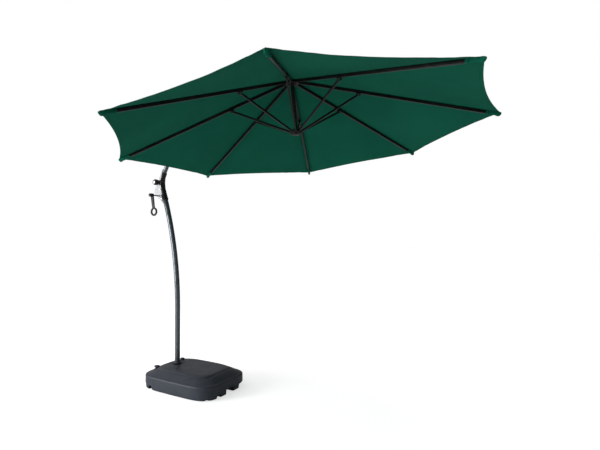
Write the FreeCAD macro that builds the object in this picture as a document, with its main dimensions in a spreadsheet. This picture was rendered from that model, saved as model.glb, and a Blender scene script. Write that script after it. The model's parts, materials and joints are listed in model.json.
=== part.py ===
"""Cantilever patio umbrella: ballast base, bent mast, tilting arm, winch and folding canopy.

Millimetres and degrees, +Z up. The origin is on the mast's axis at ground level. +X points from the
mast to the middle of the canopy and XZ is the plane of symmetry. The winch is on the -Y side.
"""
import FreeCAD, Part
import math
import os
import re
import Sketcher
from FreeCAD import Placement, Rotation, Vector

X_AXIS = Vector(1, 0, 0)
Y_AXIS = Vector(0, 1, 0)
Z_AXIS = Vector(0, 0, 1)

SIZES = {
    # base tank
    "base_rear": 180, "base_front": 600, "base_side": 300, "base_corner": 100,
    "base_skirt": 120, "base_top": 170, "base_shoulder": 105, "crown_corner": 60,
    "tank_wall": 4, "tank_floor": 50, "tank_bore": 36, "fill_level": 118, "fill_gap": 0.5,
    "channel_low": -42, "channel_high": 67, "channel_rise": 44, "gully_back": -67,
    "gully_front": -22, "gully_rise": 36, "heel_edge": -120, "heel_rise": 42,
    "flank_edge": 147, "flank_rise": 38, "arch_low": -162, "arch_high": -106, "arch_rise": 24,
    # steel cross under the tank, and the socket that it carries
    "pad_radius": 17, "pad_height": 4, "bar_width": 38, "bar_height": 12, "bar_inset": 60,
    "plate_side": 140, "plate_height": 8, "socket_wall": 5, "socket_top": 172, "bearing_height": 10,
    "collar_height": 12, "collar_radius": 40, "anchor_radius": 4, "anchor_pitch": 104,
    "anchor_head": 7, "anchor_gap": 0.2,
    # caps of the tank's two openings
    "filler_x": -115, "filler_y": -145, "filler_rim": 156, "filler_bore": 18,
    "vent_x": -38, "vent_y": 109, "vent_rim": 178, "vent_bore": 13,
    "cap_wall": 6, "cap_height": 9, "cap_plug": 12, "cap_gap": 0.1,
    # mast
    "mast_radius": 24, "mast_wall": 2, "mast_straight": 680, "mast_bend": 3300,
    "elbow_height": 1865, "turn_gap": 0.05, "head_gap": 26, "head_cap": 4, "top_gap": 0.5,
    "head_length": 180, "sleeve_radius": 27, "sleeve_gap": 0.05, "boss_size": 12,
    # side plates, their bolts and the tilt clamp
    "cheek_gap": 27.5, "cheek_thick": 3, "cheek_back": 64, "cheek_rise": 125, "cheek_fall": 209,
    "bolt_radius": 4, "bolt_head": 7, "bolt_depth_high": 65, "bolt_depth_low": 155, "bolt_drift": 0.1,
    "bolt_cap": 5, "pivot_radius": 6, "pivot_gap": 0.05,
    "eye_radius": 21, "knob_neck": 14, "knob_start": 46, "knob_length": 44, "knob_radius": 27,
    "knob_groove": 6, "knob_cap": 5,
    # winch
    "winch_x": -224, "winch_height": 1738, "drum_radius": 11, "drum_flange": 15, "drum_width": 40,
    "axle_radius": 6, "axle_reach": 140, "crank_near": 103, "crank_thick": 14, "crank_root": 13,
    "crank_tip": 9, "crank_length": 158, "crank_lean": 9, "grip_radius": 31, "grip_section": 8,
    "cord_radius": 2.5,
    # arm
    "arm_radius": 21, "arm_wall": 1.8, "arm_start": 67.5, "foot_plug": 14, "foot_length": 105,
    "arm_inset": 22, "fork_length": 45, "fork_plug": 18, "ear_thick": 5, "ear_height": 30,
    "lug_thick": 12, "lug_gap": 0.2, "swing_radius": 5, "fork_collar": 7,
    # canopy head
    "head_reach": 1215, "head_height": 2566, "canopy_tilt": 5.3, "swing_height": 95,
    "hub_radius": 52, "hub_low": 14, "hub_shelf": 6, "hub_high": 16, "hub_core": 30,
    "slot_inner": 19.5, "slot_gap": 0.3, "hinge_radius": 36, "hinge_pin": 3, "hinge_length": 24,
    "hubcap_radius": 50, "hubcap_height": 6, "post_radius": 14, "post_wall": 1.5, "post_gap": 0.05,
    "hanger_radius": 24, "hanger_base": 8, "pulley_radius": 14, "pulley_width": 5,
    "pulley_height": 60, "pulley_pin": 3,
    # ribs, struts and runner
    "canopy_radius": 1500, "canopy_rise": 456, "rib_width": 14, "rib_depth": 24, "rib_wall": 1,
    "rib_tail": 8, "joint_reach": 494, "joint_drop": 22, "saddle_length": 40, "saddle_width": 22,
    "saddle_low": 34, "fit_gap": 0.05, "tip_wall": 1.5, "tip_length": 34, "tip_depth": 24,
    "strut_width": 12, "strut_depth": 16, "strut_wall": 1.5, "runner_drop": 400,
    "runner_radius": 46, "runner_low": 24, "runner_high": 16, "runner_core": 26,
    "runner_floor": 5, "post_clear": 2,
    # fabric
    "fabric_thick": 1.5, "fabric_gap": 0.5, "fabric_hole": 42, "scallop_depth": 45, "seam_gap": 0.5,
}
RIB_COUNT = 8
FIRST_RIB = -67.5

doc = FreeCAD.newDocument("PatioUmbrella")
sheet = doc.addObject("Spreadsheet::Sheet", "Sizes")
for row, (word, amount) in enumerate(SIZES.items(), start=1):
    sheet.set(f"A{row}", word)
    sheet.set(f"B{row}", str(amount))
    sheet.setAlias(f"B{row}", word)
doc.recompute()
pieces = []


# ---- words of the sheet, as numbers and as expressions --------------------------------------------
def size(text):
    """The number that an expression in the sheet's words gives."""
    return float(sheet.evalExpression(str(text)))


def bind(thing, field, text):
    """Ties a property to an expression in the sheet's words."""
    thing.setExpression(field, re.sub(r"\b[a-z]+_[a-z]+\b", r"Sizes.\g<0>", str(text)))


# ---- solids ---------------------------------------------------------------------------------------
def add(kind, name, place=None, **fields):
    thing = doc.addObject(kind, name)
    for field, text in fields.items():
        bind(thing, field, text)
    if place:
        thing.Placement = place
    return thing


def at(x=0, y=0, z=0, axis=Z_AXIS, angle=0):
    """A placement from three expressions and a turn in degrees."""
    return Placement(Vector(size(x), size(y), size(z)), Rotation(axis, angle))


def block(name, x_low, x_high, y_low, y_high, z_low, z_high):
    """A box between two corners."""
    return add("Part::Box", name, at(x_low, y_low, z_low), Length=f"({x_high}) - ({x_low})",
               Width=f"({y_high}) - ({y_low})", Height=f"({z_high}) - ({z_low})")


def disc(name, radius, low, high, x=0, y=0):
    """An upright cylinder from one height to another."""
    return add("Part::Cylinder", name, at(x, y, low), Radius=radius, Height=f"({high}) - ({low})")


def rod(name, radius, y_low, y_high, x=0, z=0):
    """A cylinder along Y."""
    return add("Part::Cylinder", name, at(x, y_high, z, X_AXIS, 90), Radius=radius,
               Height=f"({y_high}) - ({y_low})")


def stub(name, radius, x_low, x_high, z=0):
    """A cylinder along X."""
    return add("Part::Cylinder", name, at(x_low, 0, z, Y_AXIS, 90), Radius=radius,
               Height=f"({x_high}) - ({x_low})")


def join(name, *members):
    union = doc.addObject("Part::MultiFuse", name)
    union.Shapes = list(members)
    return union


def cut(name, base, *tools):
    rest = doc.addObject("Part::Cut", name)
    rest.Base = base
    rest.Tool = tools[0] if len(tools) == 1 else join(name + "_tools", *tools)
    return rest


def piece(label, *members, place=None):
    """Names a node, made of one or more separate solids."""
    if len(members) == 1 and place is None:
        whole = members[0]
    else:
        whole = doc.addObject("Part::Compound", label + "_group")
        whole.Links = list(members)
        whole.Placement = place or Placement()
    whole.Label = label
    pieces.append(whole)
    return whole


# ---- sketches and features ------------------------------------------------------------------------
def sketch_on(body, role, height=0):
    """A sketch on one of the body's own origin planes."""
    plane = next(item for item in body.Origin.OriginFeatures if item.Role == role)
    drawing = body.newObject("Sketcher::SketchObject", body.Name + "_sketch")
    drawing.AttachmentSupport = [(plane, "")]
    drawing.MapMode = "FlatFace"
    if height:
        bind(drawing, "AttachmentOffset.Base.z", height)
    return drawing


def hold(drawing, kind, index, point, text):
    """Fixes a distance from the sketch's origin, or a radius, to an expression."""
    if kind == "Radius":
        rule = Sketcher.Constraint(kind, index, size(text))
    else:
        rule = Sketcher.Constraint(kind, -1, 1, index, point, size(text))
    number = drawing.addConstraint(rule)
    bind(drawing, f"Constraints[{number}]", text)


def circle(drawing, radius, x=0, y=0):
    index = drawing.addGeometry(Part.Circle(Vector(size(x), size(y), 0), Z_AXIS, size(radius)))
    hold(drawing, "DistanceX", index, 3, x)
    hold(drawing, "DistanceY", index, 3, y)
    hold(drawing, "Radius", index, None, radius)


def outline(drawing, points):
    """A closed outline of straight sides, each corner held by its two distances."""
    corners = [Vector(size(x), size(y), 0) for x, y in points]
    count = len(points)
    for number, corner in enumerate(corners):
        drawing.addGeometry(Part.LineSegment(corner, corners[(number + 1) % count]))
    for number, (x, y) in enumerate(points):
        drawing.addConstraint(Sketcher.Constraint("Coincident", number, 2, (number + 1) % count, 1))
        hold(drawing, "DistanceX", number, 1, x)
        hold(drawing, "DistanceY", number, 1, y)


def rounded_rectangle(drawing, x_low, x_high, y_low, y_high, radius):
    """Four quarter arcs joined by four sides."""
    arc = size(radius)
    middles = [(f"({x_high}) - ({radius})", f"({y_high}) - ({radius})"),
               (f"({x_low}) + ({radius})", f"({y_high}) - ({radius})"),
               (f"({x_low}) + ({radius})", f"({y_low}) + ({radius})"),
               (f"({x_high}) - ({radius})", f"({y_low}) + ({radius})")]
    for quarter, (x, y) in enumerate(middles):
        round_corner = Part.Circle(Vector(size(x), size(y), 0), Z_AXIS, arc)
        start = quarter * math.pi / 2
        index = drawing.addGeometry(Part.ArcOfCircle(round_corner, start, start + math.pi / 2))
        hold(drawing, "DistanceX", index, 3, x)
        hold(drawing, "DistanceY", index, 3, y)
        hold(drawing, "Radius", index, None, radius)
    for quarter in range(4):
        following = (quarter + 1) % 4
        side = drawing.addGeometry(Part.LineSegment(
            drawing.getPoint(quarter, 2), drawing.getPoint(following, 1)))
        drawing.addConstraint(Sketcher.Constraint("Tangent", quarter, 2, side, 1))
        drawing.addConstraint(Sketcher.Constraint("Tangent", side, 2, following, 1))


def pad(body, drawing, length, downward=False):
    solid = body.newObject("PartDesign::Pad", body.Name + "_pad")
    solid.Profile = drawing
    solid.Reversed = downward
    bind(solid, "Length", length)
    return solid


def bent_tube(name, outer, inner, bend, sweep, place, clockwise=False, straight=None):
    """A round tube on an arc about Y, drawn at the arc's radius on +X, with a straight foot below."""
    body = doc.addObject("PartDesign::Body", name)
    if straight:
        foot = sketch_on(body, "XY_Plane")
        circle(foot, outer, bend)
        circle(foot, inner, bend)
        pad(body, foot, straight, downward=True)
    ring = sketch_on(body, "XY_Plane")
    circle(ring, outer, bend)
    circle(ring, inner, bend)
    turn = body.newObject("PartDesign::Revolution", name + "_bend")
    turn.Profile = ring
    turn.ReferenceAxis = (ring, ["V_Axis"])
    turn.Reversed = not clockwise
    bind(turn, "Angle", sweep)
    body.Placement = place
    return body


# ---- base tank ------------------------------------------------------------------------------------
def tank_form(name, inset, low, high, crown=None):
    """The tank's rounded plan drawn in by a wall, with sloping shoulders where it has a crown."""
    body = doc.addObject("PartDesign::Body", name)
    plan = [f"-base_rear + ({inset})", f"base_front - ({inset})",
            f"-base_side + ({inset})", f"base_side - ({inset})"]
    skirt = sketch_on(body, "XY_Plane", low)
    rounded_rectangle(skirt, *plan, f"base_corner - ({inset})")
    pad(body, skirt, f"({high}) - ({low})")
    if crown:
        rim = sketch_on(body, "XY_Plane", high)
        rounded_rectangle(rim, *plan, f"base_corner - ({inset})")
        top = sketch_on(body, "XY_Plane", crown)
        narrow = [f"({plan[0]}) + base_shoulder", f"({plan[1]}) - base_shoulder",
                  f"({plan[2]}) + base_shoulder", f"({plan[3]}) - base_shoulder"]
        rounded_rectangle(top, *narrow, "crown_corner")
        shoulders = body.newObject("PartDesign::AdditiveLoft", name + "_shoulders")
        shoulders.Profile = rim
        shoulders.Sections = [top]
        shoulders.Ruled = True
    return body


def make_base():
    outer = tank_form("tank_outside", "0", "0", "base_skirt", "base_top")
    hollow = tank_form("tank_hollow", "tank_wall", "tank_floor + tank_wall", "base_skirt",
                       "base_top - tank_wall")
    column = disc("mast_column", "tank_bore + tank_wall", "0", "base_top")
    cavity = cut("tank_cavity", hollow, column)
    necks = [disc("filler_neck", "filler_bore + cap_wall", "base_skirt", "filler_rim",
                  "filler_x", "filler_y"),
             disc("vent_neck", "vent_bore + cap_wall", "base_top - cap_wall", "vent_rim",
                  "vent_x", "vent_y")]
    mouths = [disc("filler_mouth", "filler_bore", "base_skirt", "filler_rim + 1",
                   "filler_x", "filler_y"),
              disc("vent_mouth", "vent_bore", "base_skirt", "vent_rim + 1", "vent_x", "vent_y")]
    recesses = [
        block("bar_channel", "-base_rear - 1", "base_front + 1", "channel_low", "channel_high",
              "-1", "channel_rise"),
        block("side_gully", "gully_back", "gully_front", "-base_side - 1", "base_side + 1",
              "-1", "gully_rise"),
        block("heel_lift", "-base_rear - 1", "heel_edge", "-base_side - 1", "base_side + 1",
              "-1", "heel_rise"),
        block("flank_lift", "-base_rear - 1", "base_front + 1", "flank_edge", "base_side + 1",
              "-1", "flank_rise"),
        block("toe_arch", "base_front - base_corner", "base_front + 1", "arch_low", "arch_high",
              "-1", "arch_rise"),
        disc("plate_recess", "plate_side / 2 * 1.5", "-1", "channel_rise"),
        disc("filler_seat", "filler_bore + cap_wall + 3", "filler_rim", "base_top + 1",
             "filler_x", "filler_y"),
        disc("socket_bore", "tank_bore", "0", "base_top + 1")]
    walls = join("tank_walls", outer, *necks)
    piece("base_tank", cut("base_tank_solid", walls, cavity, *mouths, *recesses))

    fill = tank_form("fill_outside", "tank_wall + fill_gap", "tank_floor + tank_wall + fill_gap",
                     "fill_level")
    fill_hole = disc("fill_hole", "tank_bore + tank_wall + fill_gap", "0", "base_top")
    piece("sand_fill", cut("sand_fill_solid", fill, fill_hole))

    for name in ("filler", "vent"):
        x, y, rim, bore = (f"{name}_{part}" for part in ("x", "y", "rim", "bore"))
        lid = disc(name + "_lid", f"{bore} + cap_wall + 2", rim, f"{rim} + cap_height", x, y)
        plug = disc(name + "_plug", f"{bore} - cap_gap", f"{rim} - cap_plug", rim, x, y)
        grip = block(name + "_grip", f"{x} - {bore}", f"{x} + {bore}", f"{y} - 2", f"{y} + 2",
                     f"{rim} + cap_height", f"{rim} + cap_height + 3")
        piece(name + "_cap", join(name + "_cap_solid", lid, plug, grip))


def make_cross():
    bar_top = "pad_height + bar_height"
    long_bar = block("long_bar", "-base_rear + bar_inset", "base_front - bar_inset",
                     "-bar_width / 2", "bar_width / 2", "pad_height", bar_top)
    middle = "(gully_back + gully_front) / 2"
    short_bar = block("short_bar", f"{middle} - bar_width / 2", f"{middle} + bar_width / 2",
                      "-base_side + bar_inset", "base_side - bar_inset", "pad_height", bar_top)
    seat = block("seat_plate", "-plate_side / 2", "plate_side / 2", "-plate_side / 2",
                 "plate_side / 2", bar_top, f"{bar_top} + plate_height")
    flange_low = f"{bar_top} + plate_height"
    flange_high = f"{flange_low} + plate_height"
    anchors = []
    holes = []
    for number in range(4):
        x = f"anchor_pitch / 2 * {1 if number in (0, 3) else -1}"
        y = f"anchor_pitch / 2 * {1 if number < 2 else -1}"
        shank = disc(f"anchor_shank_{number}", "anchor_radius", bar_top,
                     f"{flange_high} + anchor_radius", x, y)
        head = disc(f"anchor_head_{number}", "anchor_head", flange_high,
                    f"{flange_high} + anchor_radius", x, y)
        anchors.append(join(f"anchor_{number}", shank, head))
        holes.append(disc(f"anchor_hole_{number}", "anchor_radius + anchor_gap", "pad_height",
                          flange_high, x, y))
    drill = join("anchor_drill", *holes)
    piece("cross_base", cut("cross_base_solid", join("cross_bars", long_bar, short_bar, seat), drill))
    piece("socket_bolts", *anchors)

    flange = block("socket_flange", "-plate_side / 2", "plate_side / 2", "-plate_side / 2",
                   "plate_side / 2", flange_low, flange_high)
    barrel = disc("socket_barrel", "mast_radius + turn_gap + socket_wall", flange_low, "socket_top")
    bore = disc("socket_inside", "mast_radius + turn_gap", flange_low, "socket_top + 1")
    piece("mast_socket", cut("mast_socket_solid", join("socket_blank", flange, barrel), bore, drill))
    piece("mast_bearing", disc("bearing_disc", "mast_radius", flange_low,
                               f"{flange_low} + bearing_height"))
    ring = disc("collar_ring", "collar_radius", "socket_top", "socket_top + collar_height")
    hole = disc("collar_hole", "mast_radius + 0.3", "socket_top - 1",
                "socket_top + collar_height + 1")
    piece("socket_collar", cut("socket_collar_solid", ring, hole))

    ends = [("0", "0"), ("-base_rear + bar_inset + pad_radius", "0"),
            ("base_front - bar_inset - pad_radius", "0"),
            (middle, "-base_side + bar_inset + pad_radius"),
            (middle, "base_side - bar_inset - pad_radius")]
    piece("foot_pads", *[disc(f"foot_pad_{number}", "pad_radius", "0", "pad_height", x, y)
                         for number, (x, y) in enumerate(ends)])
    return f"({flange_low} + bearing_height)"


# ---- places that the mast and the arm share -------------------------------------------------------
ELBOW_RISE = "(elbow_height - mast_straight)"
ELBOW_X = f"(sqrt(mast_bend ^ 2 - {ELBOW_RISE} ^ 2) - mast_bend)"
MAST_ANGLE = f"asin({ELBOW_RISE} / mast_bend)"
ELBOW = Vector(size(ELBOW_X), 0, size("elbow_height"))
PIN_X = "(head_reach - swing_height * sin(canopy_tilt * 1 deg))"
PIN_Z = "(head_height + swing_height * cos(canopy_tilt * 1 deg))"
CHORD = f"sqrt(({PIN_X} - {ELBOW_X}) ^ 2 + ({PIN_Z} - elbow_height) ^ 2)"
CHORD_ANGLE = f"atan(({PIN_Z} - elbow_height) / ({PIN_X} - {ELBOW_X}))"
ARM_TURN = f"(2 * (arm_start * 1 deg - {CHORD_ANGLE}))"
ARM_BEND = f"({CHORD} / (2 * sin({ARM_TURN} / 2)))"
HEAD = Placement(Vector(size("head_reach"), 0, size("head_height")),
                 Rotation(Y_AXIS, -size("canopy_tilt")))


def mast_frame(back=0):
    """The frame of the mast's arc, turned so that +X meets the arc this far short of the elbow."""
    angle = size(f"{MAST_ANGLE} - {back} / mast_bend * 180 deg / pi")
    return Placement(Vector(-size("mast_bend"), 0, size("mast_straight")), Rotation(Y_AXIS, -angle))


def arm_frame(along=0):
    """The frame of the arm's arc, turned so that +X meets the arc this far from the elbow."""
    bend = size(ARM_BEND)
    start = size("arm_start")
    centre = ELBOW + Vector(bend * math.sin(math.radians(start)), 0,
                            -bend * math.cos(math.radians(start)))
    return Placement(centre, Rotation(Y_AXIS, -(90 + start - math.degrees(size(along) / bend))))


def arc_sweep(length, bend):
    return f"({length}) / {bend} * 180 deg / pi"


# ---- mast, its head and the side plates -----------------------------------------------------------
def cheek_bolts():
    """Places of the plates' two bolts, a little behind the mast's bent centreline."""
    for depth in ("bolt_depth_high", "bolt_depth_low"):
        middle = f"sqrt(mast_bend ^ 2 - (elbow_height - {depth} - mast_straight) ^ 2) - mast_bend"
        yield {"x": f"{middle} - {depth} * bolt_drift", "z": f"elbow_height - {depth}"}


def cheek_outline():
    """Corners of a side plate, measured from the tilt pivot."""
    return [("52", "cheek_rise"), ("44", "cheek_rise"), ("3", "35"), ("-55", "-73"),
            ("-cheek_back", "-101"), ("-11", "-143"), ("24", "-168"), ("71", "-cheek_fall"),
            ("77", "-200"), ("38", "-130"), ("30", "-50"), ("24", "0"), ("28", "40")]


def make_mast(mast_low):
    lean = size(MAST_ANGLE)
    drill = join("cheek_drill", *[
        rod(f"cheek_hole_{number}", "bolt_radius + sleeve_gap", "-cheek_gap - cheek_thick - 1",
            "cheek_gap + cheek_thick + 1", **place)
        for number, place in enumerate(cheek_bolts())])
    tube = bent_tube("mast_form", "mast_radius", "mast_radius - mast_wall", "mast_bend",
                     f"{MAST_ANGLE} - {arc_sweep('head_gap + head_cap + top_gap', 'mast_bend')}",
                     Placement(Vector(-size("mast_bend"), 0, size("mast_straight")), Rotation()),
                     straight=f"mast_straight - {mast_low}")
    piece("mast_tube", cut("mast_tube_solid", tube, drill))

    sleeve = bent_tube("head_sleeve", "sleeve_radius", "mast_radius + sleeve_gap", "mast_bend",
                       arc_sweep("head_length - head_gap", "mast_bend"),
                       mast_frame("head_length"))
    top = Placement(ELBOW, Rotation(Y_AXIS, -lean))
    cap = disc("head_cap_disc", "(mast_radius + sleeve_radius) / 2", "0", "head_cap")
    cap.Placement = top * at(0, 0, "-head_gap - head_cap")
    bow = "head_length ^ 2 / (2 * mast_bend)"
    boss = block("head_boss", f"sleeve_radius - {bow} - 2", "sleeve_radius + 3", "-boss_size / 2",
                 "boss_size / 2", "-head_length + 2", "-head_length + 2 + boss_size")
    boss.Placement = top * boss.Placement
    piece("mast_head", cut("mast_head_solid", join("mast_head_blank", sleeve, cap, boss), drill))

    pivot_hole = rod("cheek_pivot_hole", "pivot_radius + pivot_gap", "-cheek_gap * 2",
                     "cheek_gap * 2", ELBOW_X, "elbow_height")
    axle_hole = rod("cheek_axle_hole", "axle_radius + pivot_gap", "-cheek_gap * 2",
                    "cheek_gap * 2", "winch_x", "winch_height")
    cheeks = []
    for side, near_face in (("near", "-cheek_gap"), ("far", "cheek_gap + cheek_thick")):
        body = doc.addObject("PartDesign::Body", f"cheek_{side}")
        drawing = sketch_on(body, "XZ_Plane")
        outline(drawing, cheek_outline())
        pad(body, drawing, "cheek_thick")
        body.Placement = at(ELBOW_X, near_face, "elbow_height")
        cheeks.append(cut(f"cheek_{side}_solid", body, drill, pivot_hole, axle_hole))
    piece("side_plates", *cheeks)

    outer_face = "(cheek_gap + cheek_thick)"
    bolts = []
    for number, place in enumerate(cheek_bolts()):
        shank = rod(f"cheek_shank_{number}", "bolt_radius", f"-{outer_face} - bolt_cap",
                    f"{outer_face} + bolt_cap", **place)
        near = rod(f"cheek_head_{number}", "bolt_head", f"-{outer_face} - bolt_cap",
                   f"-{outer_face}", **place)
        far = rod(f"cheek_nut_{number}", "bolt_head", outer_face, f"{outer_face} + bolt_cap", **place)
        bolts.append(join(f"cheek_bolt_{number}", shank, near, far))
    piece("plate_bolts", *bolts)

    pivot = {"x": ELBOW_X, "z": "elbow_height"}
    shank = rod("tilt_shank", "pivot_radius", "-knob_start - 20", f"{outer_face} + 8", **pivot)
    head = rod("tilt_head", "pivot_radius * 2", outer_face, f"{outer_face} + 8", **pivot)
    piece("tilt_bolt", join("tilt_bolt_solid", shank, head))


def make_knob():
    pivot = {"x": ELBOW_X, "z": "elbow_height"}
    neck = rod("knob_neck_rod", "knob_neck", "-knob_start", "-cheek_gap - cheek_thick - 0.5", **pivot)
    grip = rod("knob_grip", "knob_radius", "-knob_start - knob_length", "-knob_start", **pivot)
    grooves = []
    for number in range(6):
        around = math.radians(60 * number)
        reach = size("knob_radius + 3")
        groove = rod(f"knob_groove_{number}", "knob_groove", "-knob_start - knob_length - 1",
                     "-knob_start - 8", **pivot)
        groove.Placement.Base += Vector(reach * math.cos(around), 0, reach * math.sin(around))
        grooves.append(groove)
    bore = rod("knob_bore", "pivot_radius + pivot_gap", "-knob_start - 20.5", "0", **pivot)
    piece("tilt_knob", cut("tilt_knob_solid", join("knob_blank", neck, grip), bore, *grooves))
    face = "(-knob_start - knob_length)"
    piece("knob_cap", rod("knob_cap_disc", "knob_radius * 0.62", f"{face} - knob_cap", face, **pivot))


# ---- winch ----------------------------------------------------------------------------------------
def make_winch():
    spot = {"x": "winch_x", "z": "winch_height"}
    axle = rod("reel_axle", "axle_radius", "-axle_reach", "cheek_gap + cheek_thick + 6", **spot)
    drum = rod("reel_barrel", "drum_radius", "-drum_width / 2", "drum_width / 2", **spot)
    flanges = [rod(f"reel_flange_{number}", "drum_flange", f"{low}", f"{low} + 2", **spot)
               for number, low in enumerate(("-drum_width / 2", "drum_width / 2 - 2"))]
    piece("reel_drum", join("reel_drum_solid", axle, drum, *flanges))
    coil = rod("coil_outside", "drum_radius + cord_radius", "-drum_width / 2 + 3",
               "drum_width / 2 - 3", **spot)
    core = rod("coil_inside", "drum_radius", "-drum_width / 2", "drum_width / 2", **spot)
    piece("wound_cord", cut("wound_cord_solid", coil, core))

    body = doc.addObject("PartDesign::Body", "crank_web")
    drawing = sketch_on(body, "XZ_Plane")
    reach = "crank_length - grip_radius - grip_section / 2"
    outline(drawing, [("-crank_root", "0"), ("-crank_tip", f"-({reach})"),
                      ("crank_tip", f"-({reach})"), ("crank_root", "0")])
    pad(body, drawing, "crank_thick")
    middle = size("-crank_near - crank_thick / 2")
    body.Placement = at(0, "-crank_near", 0)
    boss = rod("crank_boss", "crank_root", "-axle_reach", "-crank_near + 4")
    grip = add("Part::Torus", "grip_ring", Placement(Vector(0, middle, -size("crank_length")),
               Rotation(X_AXIS, 90)), Radius1="grip_radius", Radius2="grip_section")
    hole = rod("crank_bore", "axle_radius", "-axle_reach", "0")
    whole = cut("crank_handle_solid", join("crank_blank", body, boss, grip), hole)
    piece("crank_handle", whole, place=at("winch_x", 0, "winch_height", Y_AXIS, -size("crank_lean")))
    piece("crank_cap", rod("crank_cap_disc", "crank_root", "-axle_reach - 6", "-axle_reach", **spot))


# ---- arm ------------------------------------------------------------------------------------------
def make_arm():
    tube_length = f"{ARM_BEND} * {ARM_TURN} / 180 deg * pi - arm_inset - fork_length"
    piece("arm_tube", bent_tube("arm_form", "arm_radius", "arm_radius - arm_wall", ARM_BEND,
                                arc_sweep(tube_length, ARM_BEND), arm_frame("arm_inset"),
                                clockwise=True))
    sleeve = bent_tube("foot_sleeve", "sleeve_radius", "arm_radius + sleeve_gap", ARM_BEND,
                       arc_sweep("foot_length - foot_plug", ARM_BEND), arm_frame("foot_plug"),
                       clockwise=True)
    along = Placement(ELBOW, Rotation(Y_AXIS, -size("arm_start")))
    plug = stub("foot_plug_rod", "mast_radius", "foot_plug - 2", "arm_inset - 0.6")
    plug.Placement = along * plug.Placement
    boss = block("foot_boss", "foot_length - boss_size", "foot_length", "-boss_size / 2",
                 "boss_size / 2", "-sleeve_radius - 8", "-sleeve_radius + 2")
    boss.Placement = along * boss.Placement
    eye = rod("foot_eye", "eye_radius", "-cheek_gap + 0.5", "cheek_gap - 0.5", ELBOW_X,
              "elbow_height")
    bore = rod("foot_bore", "pivot_radius + pivot_gap", "-cheek_gap", "cheek_gap", ELBOW_X,
               "elbow_height")
    piece("arm_foot", cut("arm_foot_solid", join("arm_foot_blank", sleeve, plug, boss, eye), bore))

    end_angle = size(f"arm_start * 1 deg - {ARM_TURN}")
    bow = f"(fork_length + fork_plug) ^ 2 / (2 * {ARM_BEND})"
    plug = stub("fork_plug_rod", f"arm_radius - arm_wall - {bow} - 0.2", "-fork_length - fork_plug",
                "-fork_length + fork_collar")
    collar = stub("fork_collar_disc", "arm_radius", "-fork_length + 1", "-fork_length + fork_collar")
    ears = []
    for side, low in (("near", "-lug_thick / 2 - lug_gap - ear_thick"),
                      ("far", "lug_thick / 2 + lug_gap")):
        flat = block(f"ear_{side}", "-fork_length + fork_collar - 1", "0", low,
                     f"{low} + ear_thick", "-ear_height / 2", "ear_height / 2")
        tip = rod(f"ear_tip_{side}", "ear_height / 2", low, f"{low} + ear_thick")
        ears.extend([flat, tip])
    bore = rod("fork_bore", "swing_radius", "-ear_height", "ear_height")
    fork = cut("arm_fork_solid", join("arm_fork_blank", plug, collar, *ears), bore)
    piece("arm_fork", fork, place=at(PIN_X, 0, PIN_Z, Y_AXIS, -end_angle))
    reach = "lug_thick / 2 + lug_gap + ear_thick"
    piece("swing_pin", rod("swing_pin_rod", "swing_radius", f"-({reach}) - 3", f"{reach} + 3",
                           PIN_X, PIN_Z))


# ---- canopy head, in the head's own frame with +Z up the post -------------------------------------
def around_post(number):
    return Rotation(Z_AXIS, FIRST_RIB + 360 / RIB_COUNT * number)


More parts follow.
